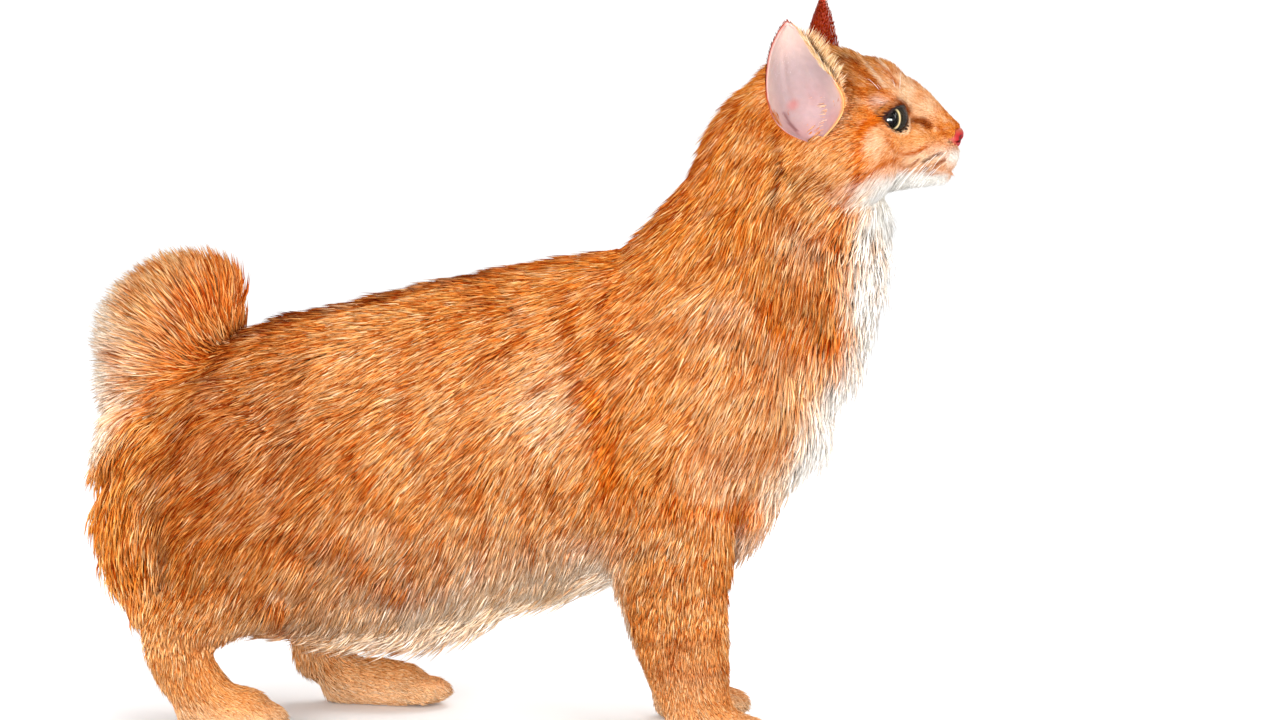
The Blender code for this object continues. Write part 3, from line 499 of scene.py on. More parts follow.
def cut(obj: Object, tool: Solid) -> Object:
    """Takes a closed form away from an object."""
    other = outwards(mesh_of("tool", [tool]))
    modifier = obj.modifiers.new("Cut", "BOOLEAN")
    modifier.operation = "DIFFERENCE"
    modifier.solver = "MANIFOLD"
    modifier.object = other
    baked(obj)
    bpy.data.objects.remove(other, do_unlink=True)
    return obj


def softened(obj: Object, rounds: int, weight: Optional[Points] = None) -> None:
    """Smooths a mesh by moving each point towards the mean of its neighbours."""
    count = len(obj.data.vertices)
    edges = np.empty(len(obj.data.edges) * 2, np.int32)
    obj.data.edges.foreach_get("vertices", edges)
    edges = edges.reshape(-1, 2)
    ends = np.concatenate([edges[:, 0], edges[:, 1]])
    others = np.concatenate([edges[:, 1], edges[:, 0]])
    valence = np.bincount(ends, minlength=count)[:, None]
    points = places(obj)
    factor = 0.5 if weight is None else 0.5 * weight[:, None]
    for _ in range(rounds):
        sums = [np.bincount(ends, points[others, axis], minlength=count) for axis in range(3)]
        points += (np.stack(sums, axis=1) / valence - points) * factor
    set_places(obj, points)


def triangle_count(obj: Object) -> int:
    """The number of triangles in a mesh."""
    return sum(len(p.vertices) - 2 for p in obj.data.polygons)


def dressed(
    obj: Object,
    finish: Material,
    replaces: Sequence[str] = (),
) -> Object:
    """Gives a finished piece its finish, its body and what it stands for.

    Args:
        obj: The piece.
        finish: Its material.
        replaces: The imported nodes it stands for.

    Returns:
        The piece.
    """
    obj.data.materials.clear()
    obj.data.materials.append(finish)
    obj.data.shade_smooth()
    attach(obj, "root")
    if replaces:
        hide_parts(*replaces)
    LOG.info("%s: %d triangles", obj.name, triangle_count(obj))
    return obj


# The finishes. Every painted piece carries its colour in one attribute.
COLOUR = "coat"
STRAND = "strand"
SCATTER_REACH = (0.006, 0.002, 0.001)


def add_node(tree: NodeTree, kind: str, inputs: Optional[dict] = None, **settings: object) -> Node:
    """Adds a node to a tree.

    Args:
        tree: The tree of a material or of Geometry Nodes.
        kind: The node's type.
        inputs: By name or number, values for its inputs or the sockets that feed them.
        settings: Its own settings.

    Returns:
        The node.
    """
    made = tree.nodes.new(kind)
    for key, value in settings.items():
        setattr(made, key, value)
    for key, value in (inputs or {}).items():
        if isinstance(value, NodeSocket):
            tree.links.new(value, made.inputs[key])
        else:
            made.inputs[key].default_value = value
    return made


def new_material(name: str, values: dict) -> tuple[Material, Node]:
    """A node material with its main shader, whose inputs have the given values."""
    made = bpy.data.materials.new(name)
    made.use_nodes = True
    shader = made.node_tree.nodes["Principled BSDF"]
    for key, value in values.items():
        shader.inputs[key].default_value = value
    return made, shader


def spread(tree: NodeTree, noise: Node, middle: float, low: float, high: float) -> NodeSocket:
    """A noise's values drawn out to fill a range.

    Args:
        tree: The material's tree.
        noise: The noise, whose values lie round a half.
        middle: How far from a half its values are let reach.
        low: The lowest value wanted.
        high: The highest.

    Returns:
        The socket of the new values.
    """
    ends = {"From Min": 0.5 - middle, "From Max": 0.5 + middle, "To Min": low, "To Max": high}
    made = add_node(tree, "ShaderNodeMapRange", {"Value": noise.outputs["Fac"], **ends})
    return made.outputs["Result"]


def scaled(tree: NodeTree, colour: NodeSocket, share: NodeSocket) -> NodeSocket:
    """A colour made lighter or darker by a share."""
    made = add_node(tree, "ShaderNodeVectorMath", {0: colour, "Scale": share}, operation="SCALE")
    return made.outputs["Vector"]


def mottled(tree: NodeTree, colour: NodeSocket, scale: float, low: float, high: float) -> NodeSocket:
    """A colour made lighter and darker in small patches.

    Args:
        tree: The material's tree.
        colour: The socket that gives the colour.
        scale: How many patches there are to a metre.
        low: The darkest share.
        high: The lightest share.

    Returns:
        The socket of the mottled colour.
    """
    where = add_node(tree, "ShaderNodeTexCoord").outputs["Object"]
    noise = add_node(tree, "ShaderNodeTexNoise", {"Vector": where, "Scale": scale, "Detail": 3.0})
    return scaled(tree, colour, spread(tree, noise, 0.2, low, high))


def stranded(tree: NodeTree, colour: NodeSocket) -> NodeSocket:
    """A colour drawn out in fine hairs along each tuft, some deeper and some paler."""
    where = add_node(tree, "ShaderNodeAttribute", attribute_name=STRAND).outputs["Vector"]
    values = {"Vector": where, "Scale": 1.0, "Detail": 2.0}
    noise = add_node(tree, "ShaderNodeTexNoise", values, noise_dimensions="2D")
    gamma = spread(tree, noise, 0.18, 1.42, 0.72)
    deepened = add_node(tree, "ShaderNodeGamma", {"Color": colour, "Gamma": gamma})
    return scaled(tree, deepened.outputs["Color"], spread(tree, noise, 0.18, 0.88, 1.0))


def bumped(tree: NodeTree, shader: Node, scale: float, height: float) -> None:
    """Gives a shader a fine uneven surface, of so many grains to a metre and so high in metres."""
    where = add_node(tree, "ShaderNodeTexCoord").outputs["Object"]
    noise = add_node(tree, "ShaderNodeTexNoise", {"Vector": where, "Scale": scale, "Detail": 4.0})
    values = {"Strength": 0.6, "Distance": height, "Height": noise.outputs["Fac"]}
    bump = add_node(tree, "ShaderNodeBump", values)
    tree.links.new(bump.outputs["Normal"], shader.inputs["Normal"])


@dataclass(frozen=True)
class PaintedFinish:
    """A finish whose colour is the piece's own, with patches and grains counted to a metre."""

    name: str
    roughness: float
    specular: float
    patches: float
    low: float
    high: float
    grains: float = 0.0
    grain_height: float = 0.0
    scatter: float = 0.0
    strands: bool = False

    def material(self) -> Material:
        """The finish as a material."""
        values = {"Roughness": self.roughness, "Specular IOR Level": self.specular}
        if self.scatter:
            values["Subsurface Weight"] = self.scatter
            values["Subsurface Radius"] = SCATTER_REACH
            values["Subsurface Scale"] = 0.5
        made, shader = new_material(self.name, values)
        tree = made.node_tree
        source = add_node(tree, "ShaderNodeAttribute", attribute_name=COLOUR)
        colour = mottled(tree, source.outputs["Color"], self.patches, self.low, self.high)
        if self.strands:
            colour = stranded(tree, colour)
        tree.links.new(colour, shader.inputs["Base Color"])
        if self.grains:
            bumped(tree, shader, self.grains, self.grain_height)
        return made


SKIN_FINISH = PaintedFinish("skin_finish", 0.85, 0.10, 900, 0.8, 1.1, 1400, 0.0005)
COAT_FINISH = PaintedFinish("coat_finish", 0.80, 0.02, 1500, 0.9, 1.08, strands=True)
EAR_FINISH = PaintedFinish("ear_finish", 0.5, 0.35, 260, 0.93, 1.04, 1100, 0.00025, scatter=0.25)
NOSE_FINISH = PaintedFinish("nose_finish", 0.42, 0.14, 700, 0.9, 1.05, 1500, 0.0003)
LID_FINISH = PaintedFinish("lid_finish", 0.4, 0.20, 900, 0.9, 1.05, 900, 0.0001)
IRIS_FINISH = PaintedFinish("iris_finish", 0.8, 0.0, 1800, 0.75, 1.15)


@dataclass(frozen=True)
class CorneaFinish:
    """The clear wet front of an eye."""

    name: str = "cornea_finish"
    ior: float = 1.20
    gloss: float = 0.5

    def material(self) -> Material:
        """The finish as a material."""
        values = {
            "Base Color": (1.0, 1.0, 1.0, 1.0),
            "Roughness": 0.0,
            "Specular IOR Level": self.gloss,
            "IOR": self.ior,
            "Transmission Weight": 1.0,
        }
        return new_material(self.name, values)[0]


@dataclass(frozen=True)
class FloorFinish:
    """The pale matt floor."""

    name: str = "floor_finish"
    colour: tuple[float, float, float] = (0.93, 0.93, 0.93)
    roughness: float = 0.9
    specular: float = 0.1

    def material(self) -> Material:
        """The finish as a material."""
        values = {"Base Color": (*self.colour, 1.0), "Roughness": self.roughness}
        return new_material(self.name, values | {"Specular IOR Level": self.specular})[0]


# The lie of the coat.


class Guide(NamedTuple):
    """What the coat does about one place: its lie, length, lift in degrees and depth."""

    x: float
    y: float
    z: float
    lie: tuple[float, float, float]
    length: float
    lift: float
    depth: float


HEAD_GUIDES = (
    Guide(228, 0, 338, (-0.9, 0, 0.5), 1.8, 12, 0.3),
    Guide(215, 0, 350, (-0.8, 0, 0.55), 3.4, 22, 0.3),
    Guide(203, 0, 364, (-0.75, 0, 0.6), 5.5, 27, 0.3),
    Guide(190, 0, 372, (-0.95, 0, 0.25), 7.0, 26, 0.8),
    Guide(165, 0, 378, (-1, 0, -0.05), 9.0, 22, 1.8),
    Guide(140, 0, 370, (-0.85, 0, -0.5), 12, 17, 3.2),
    Guide(216, 10, 337, (-1, 0.3, 0.1), 2.4, 12, 0.4),
    Guide(227, 8, 325, (-0.5, 0.7, -0.3), 2.4, 16, 0.5),
    Guide(231, 3, 320, (0.0, 0.45, -0.9), 2.8, 24, 0.4),
    Guide(222, 16, 319, (-0.85, 0.35, -0.4), 4.0, 16, 0.9),
    Guide(210, 22, 320, (-0.9, 0.3, -0.3), 5.0, 14, 1.2),
    Guide(228, 4, 308, (-0.7, 0.3, -0.7), 4.0, 20, 0.8),
    Guide(215, 0, 301, (-0.9, 0, -0.4), 7.0, 20, 1.6),
    Guide(212, 14, 307, (-0.85, 0.2, -0.5), 6.0, 18, 1.3),
    Guide(208, 13, 335, (-0.9, 0.4, -0.2), 3.0, 12, 0.5),
    Guide(206, 25, 330, (-0.9, 0.3, -0.35), 4.5, 13, 0.8),
    Guide(195, 31, 328, (-0.85, 0.3, -0.45), 6.0, 14, 1.3),
    Guide(196, 30, 354, (-0.9, 0.3, 0.2), 4.0, 13, 0.8),
    Guide(205, 15, 356, (-0.75, 0.35, 0.55), 3.6, 13, 0.7),
    Guide(190, 20, 364, (-0.85, 0.4, 0.3), 6.0, 16, 1.2),
    Guide(185, 33, 345, (-0.95, 0.3, -0.1), 5.0, 13, 1.1),
    Guide(180, 42, 325, (-0.8, 0.2, -0.6), 9.0, 16, 2.6),
    Guide(190, 34, 308, (-0.8, 0.1, -0.6), 10, 18, 2.8),
    Guide(168, 44, 310, (-0.65, 0.1, -0.75), 13, 19, 4.0),
    Guide(165, 30, 362, (-0.85, 0.5, 0.0), 8.0, 16, 1.8),
    Guide(150, 40, 335, (-0.6, 0.3, -0.7), 8.0, 14, 2.2),
    Guide(196, 0, 296, (-0.6, 0, -0.8), 14, 20, 3.5),
    Guide(178, 25, 296, (-0.5, 0.1, -0.85), 15, 20, 4.5),
)
BODY_GUIDES = (
    Guide(104, 0, 332, (-0.55, 0, -0.83), 15, 16, 3.8),
    Guide(80, 0, 296, (-0.62, 0, -0.78), 16, 15, 4.2),
    Guide(118, 44, 318, (-0.35, 0.1, -0.93), 15, 17, 4.0),
    Guide(140, 46, 285, (-0.3, 0, -0.95), 17, 17, 4.5),
    Guide(105, 50, 262, (-0.5, 0, -0.86), 17, 16, 4.5),
    Guide(172, 28, 262, (-0.15, 0, -1), 20, 19, 5.5),
    Guide(188, 0, 272, (0.0, 0, -1), 22, 22, 6.5),
    Guide(180, 0, 228, (-0.15, 0, -1), 26, 22, 7.0),
    Guide(164, 30, 215, (-0.3, 0, -0.95), 21, 18, 5.5),
    Guide(160, 0, 180, (-0.4, 0, -0.92), 26, 22, 7.0),
    Guide(135, 0, 135, (-0.5, 0, -0.85), 24, 20, 6.5),
    Guide(130, 38, 165, (-0.45, 0.0, -0.9), 17, 16, 4.8),
    Guide(50, 0, 270, (-0.93, 0, -0.35), 15, 13, 3.8),
    Guide(-10, 0, 258, (-1, 0, -0.12), 14, 12, 3.8),
    Guide(-70, 0, 247, (-1, 0, -0.12), 14, 12, 3.8),
    Guide(-130, 0, 232, (-1, 0, -0.2), 15, 13, 4.0),
    Guide(-168, 0, 216, (-0.9, 0, -0.45), 16, 15, 4.2),
    Guide(60, 48, 235, (-0.72, 0.1, -0.68), 15, 13, 4.2),
    Guide(85, 60, 190, (-0.55, 0, -0.83), 16, 14, 4.5),
    Guide(20, 62, 200, (-0.80, 0, -0.60), 14, 13, 4.2),
    Guide(20, 62, 140, (-0.52, 0, -0.86), 15, 15, 4.8),
    Guide(-60, 60, 195, (-0.84, 0, -0.54), 14, 13, 4.2),
    Guide(-60, 60, 135, (-0.60, 0, -0.80), 15, 15, 4.8),
    Guide(-55, 45, 80, (-0.34, 0, -0.94), 20, 17, 6.0),
    Guide(10, 42, 95, (-0.34, 0, -0.94), 18, 16, 5.5),
    Guide(35, 0, 82, (-0.92, 0, -0.3), 24, 22, 6.5),
    Guide(-25, 0, 62, (-0.9, 0, -0.4), 28, 26, 7.0),
    Guide(-85, 0, 48, (-0.88, 0, -0.4), 28, 26, 7.0),
    Guide(-140, 0, 52, (-0.85, 0, -0.4), 24, 22, 6.5),
    Guide(-130, 60, 190, (-0.8, 0, -0.6), 16, 14, 4.5),
    Guide(-150, 62, 140, (-0.68, 0, -0.73), 17, 15, 4.8),
    Guide(-115, 62, 90, (-0.6, 0, -0.8), 19, 16, 5.0),
    Guide(-160, 60, 90, (-0.45, 0, -0.9), 17, 15, 4.5),
    Guide(-200, 45, 170, (-0.6, 0.1, -0.8), 20, 17, 5.5),
    Guide(-222, 12, 165, (-0.10, 0.1, -1), 22, 9, 7.5),
    Guide(-238, 24, 140, (0.0, 0.1, -1), 25, 9, 8.5),
    Guide(-240, 26, 108, (0.05, 0.05, -1), 26, 9, 8.5),
    Guide(-226, 40, 85, (0.1, 0.1, -1), 22, 10, 7.5),
    Guide(-205, 0, 95, (-0.3, 0, -0.95), 20, 16, 5.0),
    Guide(55, 58, 115, (-0.5, 0.05, -0.86), 17, 15, 4.5),
)
FORE_GUIDES = (
    Guide(112, 48, 125, (-0.3, 0, -0.95), 13, 13, 3.4),
    Guide(84, 60, 120, (-0.35, 0, -0.94), 13, 13, 3.4),
    Guide(100, 50, 80, (-0.15, 0, -1), 9.5, 12, 2.4),
    Guide(76, 42, 70, (-0.2, 0, -1), 10, 13, 2.6),
    Guide(96, 40, 45, (0.05, 0, -1), 7.0, 12, 1.9),
    Guide(85, 37, 28, (0.0, 0, -1), 6.0, 12, 1.6),
    Guide(112, 37, 24, (0.55, 0, -0.85), 5.0, 12, 1.2),
    Guide(126, 37, 14, (0.85, 0, -0.55), 4.0, 11, 0.8),
    Guide(110, 37, 5, (0.9, 0, -0.3), 4.0, 10, 0.5),
)
HIND_GUIDES = {
    -1: (
        Guide(-172, -62, 72, (-0.45, 0, -0.9), 11, 13, 3.0),
        Guide(-208, -45, 52, (0.0, 0, -1), 8.0, 12, 2.0),
        Guide(-180, -58, 42, (0.15, 0, -1), 8.0, 12, 2.0),
        Guide(-180, -45, 22, (0.5, 0, -0.85), 6.5, 12, 1.5),
        Guide(-155, -45, 22, (0.85, 0, -0.5), 5.0, 12, 1.2),
        Guide(-140, -45, 10, (0.9, 0, -0.4), 4.0, 11, 0.8),
        Guide(-172, -45, 4, (0.9, 0, 0.0), 4.0, 10, 0.5),
    ),
    1: (
        Guide(-118, 62, 68, (-0.3, 0, -0.95), 11, 13, 3.0),
        Guide(-146, 46, 38, (0.05, 0, -1), 8.0, 12, 2.0),
        Guide(-122, 58, 34, (0.4, 0, -0.9), 8.0, 12, 2.0),
        Guide(-112, 46, 26, (0.9, 0, -0.4), 6.5, 12, 1.5),
        Guide(-84, 46, 22, (0.9, 0, -0.4), 5.0, 12, 1.2),
        Guide(-68, 46, 10, (0.9, 0, -0.4), 4.0, 11, 0.8),
        Guide(-100, 46, 4, (0.9, 0, 0.0), 4.0, 10, 0.5),
    ),
}
GUIDE_NEAR = 11.0
COMB_BLOCK = 20000


def both_sides(guides: Sequence[Guide], shifts: Optional[dict] = None) -> list[Guide]:
    """Guides of the left side, with their mirror images."""
    out = []
    for guide in guides:
        for side in (1, -1) if guide.y or shifts else (1,):
            lie = (guide.lie[0], guide.lie[1] * side, guide.lie[2])
            shift = shifts[side] if shifts else 0.0
            out.append(guide._replace(x=guide.x + shift, y=guide.y * side, lie=lie))
    return out


def all_guides() -> list[Guide]:
    """Every guide of the coat in the modelling frame."""
    guides = []
    for guide in both_sides(HEAD_GUIDES):
        at = moved(np.array([guide[:3]]), HEAD_TURN)[0]
        lie = HEAD_TURN[:3, :3] @ np.array(guide.lie)
        guides.append(guide._replace(x=at[0], y=at[1], z=at[2], lie=tuple(lie)))
    guides += both_sides(BODY_GUIDES)
    guides += both_sides(FORE_GUIDES, FORE_STEP)
    for side in (1, -1):
        guides += list(HIND_GUIDES[side])
    return guides


class Comb(NamedTuple):
    """The coat's lie, length, lift and depth at each point of the skin."""

    lie: Points
    length: Points
    lift: Points
    depth: Points


CLUMPING = 0.22
DRIFT = 0.12
TAIL_LENGTH = (32.0, 19.0)
TAIL_STAND = 0.30
TAIL_SWEEP = -0.45
TAIL_DROOP = 0.9


def comb(points: Points, outward: Points) -> Comb:
    """Blends the guides over the skin.

    Args:
        points: Points of the skin.
        outward: The directions out of it there.

    Returns:
        What the coat does at each point.
    """
    guides = all_guides()
    at = np.array([g[:3] for g in guides])
    values = np.array([(*unit(g.lie), g.length, g.lift, g.depth) for g in guides])
    out = np.empty((len(points), values.shape[1]))
    for start in range(0, len(points), COMB_BLOCK):
        part = points[start : start + COMB_BLOCK]
        gap = ((part[:, None, :] - at[None]) ** 2).sum(2)
        weight = (gap + GUIDE_NEAR**2) ** -2.5
        out[start : start + COMB_BLOCK] = (weight / weight.sum(1, keepdims=True)) @ values
    wave = np.stack([grain(points, 8, 11 + axis) for axis in range(3)], axis=1)
    drift = np.stack([grain(points, 26, 21 + axis) for axis in range(3)], axis=1)
    calm = fade(3.0, 14.0, out[:, 3])[:, None]
    lie = out[:, :3] + (wave * CLUMPING + drift * DRIFT) * calm
    lie -= outward * (lie * outward).sum(1)[:, None] * 0.96
    lie /= np.linalg.norm(lie, axis=1)[:, None] + 1e-9
    tail = tail_share(points)
    away = points - TAIL_ROOT
    away /= np.linalg.norm(away, axis=1)[:, None]
    out_of_root = np.clip((away * outward).sum(1), 0, 1)
    below = fade(204.0, 168.0, points[:, 2])
    fan = away * (1.0, 0.35, 1.0) + outward * TAIL_STAND + wave * 0.15
    fan += np.outer(1 - below, (TAIL_SWEEP, 0.0, 0.0))
    fan -= np.outer(0.1 + below * TAIL_DROOP, (0.0, 0.0, 1.0))
    fan /= np.linalg.norm(fan, axis=1)[:, None]
    lie = lie * (1 - tail[:, None]) + fan * tail[:, None]
    tail_length = TAIL_LENGTH[0] + (TAIL_LENGTH[1] - TAIL_LENGTH[0]) * out_of_root
    tail_length = tail_length * (1 - 0.35 * below)
    length = out[:, 3] * (1 + 0.13 * wave[:, 0]) * (1 - tail) + tail_length * tail
    lift = (out[:, 4] + 5.0 * wave[:, 1] * calm[:, 0]) * (1 - tail)
    depth = out[:, 5] * (1 - tail) + 1.0 * tail
    return Comb(lie, length, lift, depth)


def tail_share(points: Points) -> Points:
    """How far each point belongs to the tail rather than the rump."""
    beyond = (points - TAIL_CUT_POINT) @ unit(TAIL_CUT_NORMAL)
    return fade(-3.0, 4.0, beyond) * fade(-160.0, -172.0, points[:, 0])


# The markings.

PINK = np.array((0.86, 0.58, 0.52))


class Shade(Enum):
    """The coat's shades, each a colour at the tufts' roots and one at their tips."""

    # Each root colour is darker than its tip: partly the hairs' own colour, partly painted shade deep in
    # the coat.
    GINGER = ((0.62, 0.145, 0.009), (0.86, 0.340, 0.058))
    AMBER = ((0.80, 0.310, 0.070), (0.97, 0.560, 0.250))
    CREAM = ((0.92, 0.570, 0.300), (0.99, 0.780, 0.560))
    WHITE = ((0.96, 0.900, 0.800), (0.99, 0.970, 0.940))
    BLAZE = ((0.62, 0.110, 0.004), (0.84, 0.230, 0.016))
    RUST = ((0.46, 0.085, 0.006), (0.66, 0.180, 0.022))
    BROWN = ((0.18, 0.028, 0.003), (0.40, 0.085, 0.010))
    UMBER = ((0.06, 0.012, 0.003), (0.14, 0.030, 0.008))
    BLUSH = ((0.86, 0.560, 0.450), (0.92, 0.660, 0.520))


GINGER, AMBER, CREAM, WHITE, BLAZE, RUST, BROWN, UMBER, BLUSH = Shade


class Paint:
    """The colours of the coat's roots and tips at each point of the skin."""

    def __init__(self, count: int) -> None:
        """Starts ginger everywhere."""
        root, tip = GINGER.value
        self.root = np.tile(root, (count, 1)).astype(float)
        self.tip = np.tile(tip, (count, 1)).astype(float)

    def lay(self, share: Points, shade: Shade) -> None:
        """Lays a shade over, by that share at each point."""
        share = np.clip(share, 0, 1)
        for colours, colour in zip((self.root, self.tip), shade.value):
            tint(colours, colour, share)


class Mark(NamedTuple):
    """A stripe: its shade, half width and strength, and its line in the photo's pixels."""

    shade: Shade
    width: float
    strength: float
    line: tuple[tuple[float, float], ...]


class Patch(NamedTuple):
    """A soft patch: its shade, strength, and middle and reaches in the photo's pixels."""

    shade: Shade
    strength: float
    x: float
    y: float
    rx: float
    ry: float


PATCHES = (
    Patch(RUST, 0.70, 285, 450, 60, 110),
    Patch(RUST, 0.90, 200, 480, 65, 110),
    Patch(BROWN, 0.60, 240, 430, 50, 105),
    Patch(RUST, 0.30, 705, 200, 34, 46),
    Patch(RUST, 0.30, 500, 283, 110, 13),
    Patch(AMBER, 0.35, 430, 430, 200, 130),
    # Painted light on the haunch's front, lifting the shade of its hollow.
    Patch(CREAM, 0.75, 360, 570, 44, 30),
    Patch(CREAM, 0.45, 470, 565, 90, 30),
    Patch(AMBER, 0.55, 660, 560, 50, 50),
    Patch(AMBER, 0.60, 850, 62, 22, 12),
    Patch(AMBER, 0.35, 240, 610, 60, 30),
    Patch(AMBER, 0.50, 350, 360, 55, 34),
    Patch(AMBER, 0.45, 430, 440, 60, 60),
    Patch(AMBER, 0.55, 340, 600, 60, 40),
    Patch(AMBER, 0.75, 500, 540, 90, 50),
    Patch(AMBER, 0.95, 535, 425, 50, 60),
    Patch(CREAM, 0.45, 540, 410, 34, 44),
    Patch(AMBER, 0.45, 640, 330, 34, 40),
    Patch(AMBER, 0.85, 710, 380, 46, 75),
    Patch(CREAM, 0.45, 725, 318, 30, 14),
    Patch(CREAM, 0.40, 730, 480, 45, 45),
    Patch(CREAM, 0.55, 795, 400, 34, 50),
    Patch(AMBER, 0.80, 800, 235, 32, 62),
    Patch(CREAM, 0.50, 806, 252, 22, 26),
    # Painted light on the haunch's front, lifting the shade of its hollow.
    Patch(AMBER, 0.60, 370, 570, 50, 50),
    Patch(AMBER, 0.70, 790, 420, 44, 60),
    Patch(CREAM, 0.40, 690, 690, 34, 40),
    Patch(AMBER, 0.50, 745, 155, 14, 26),
    Patch(BROWN, 0.45, 729, 164, 8, 14),
    Patch(BLAZE, 0.90, 766, 105, 12, 30),
    Patch(BLAZE, 0.80, 786, 130, 20, 9),
    Patch(AMBER, 0.65, 690, 640, 50, 70),
    Patch(AMBER, 0.60, 822, 165, 26, 26),
    Patch(RUST, 0.15, 845, 66, 26, 14),
    Patch(CREAM, 0.75, 874, 144, 13, 15),
    Patch(CREAM, 0.90, 905, 96, 11, 15),
    Patch(CREAM, 0.60, 904, 78, 18, 11),
    Patch(CREAM, 0.70, 926, 108, 13, 15),
    Patch(BLUSH, 0.90, 877, 101, 9, 5),
    Patch(RUST, 0.70, 893, 100, 6, 3.5),
    Patch(AMBER, 0.80, 912, 140, 22, 8),
    Patch(RUST, 0.55, 957, 124, 7, 6),
    Patch(CREAM, 0.85, 925, 158, 26, 10),
    Patch(BLUSH, 0.50, 938, 152, 14, 8),
    Patch(WHITE, 0.90, 954, 158, 11, 9),
    Patch(WHITE, 0.90, 928, 186, 30, 10),
    Patch(WHITE, 1.00, 892, 192, 28, 17),
    Patch(WHITE, 1.00, 888, 215, 26, 24),
)
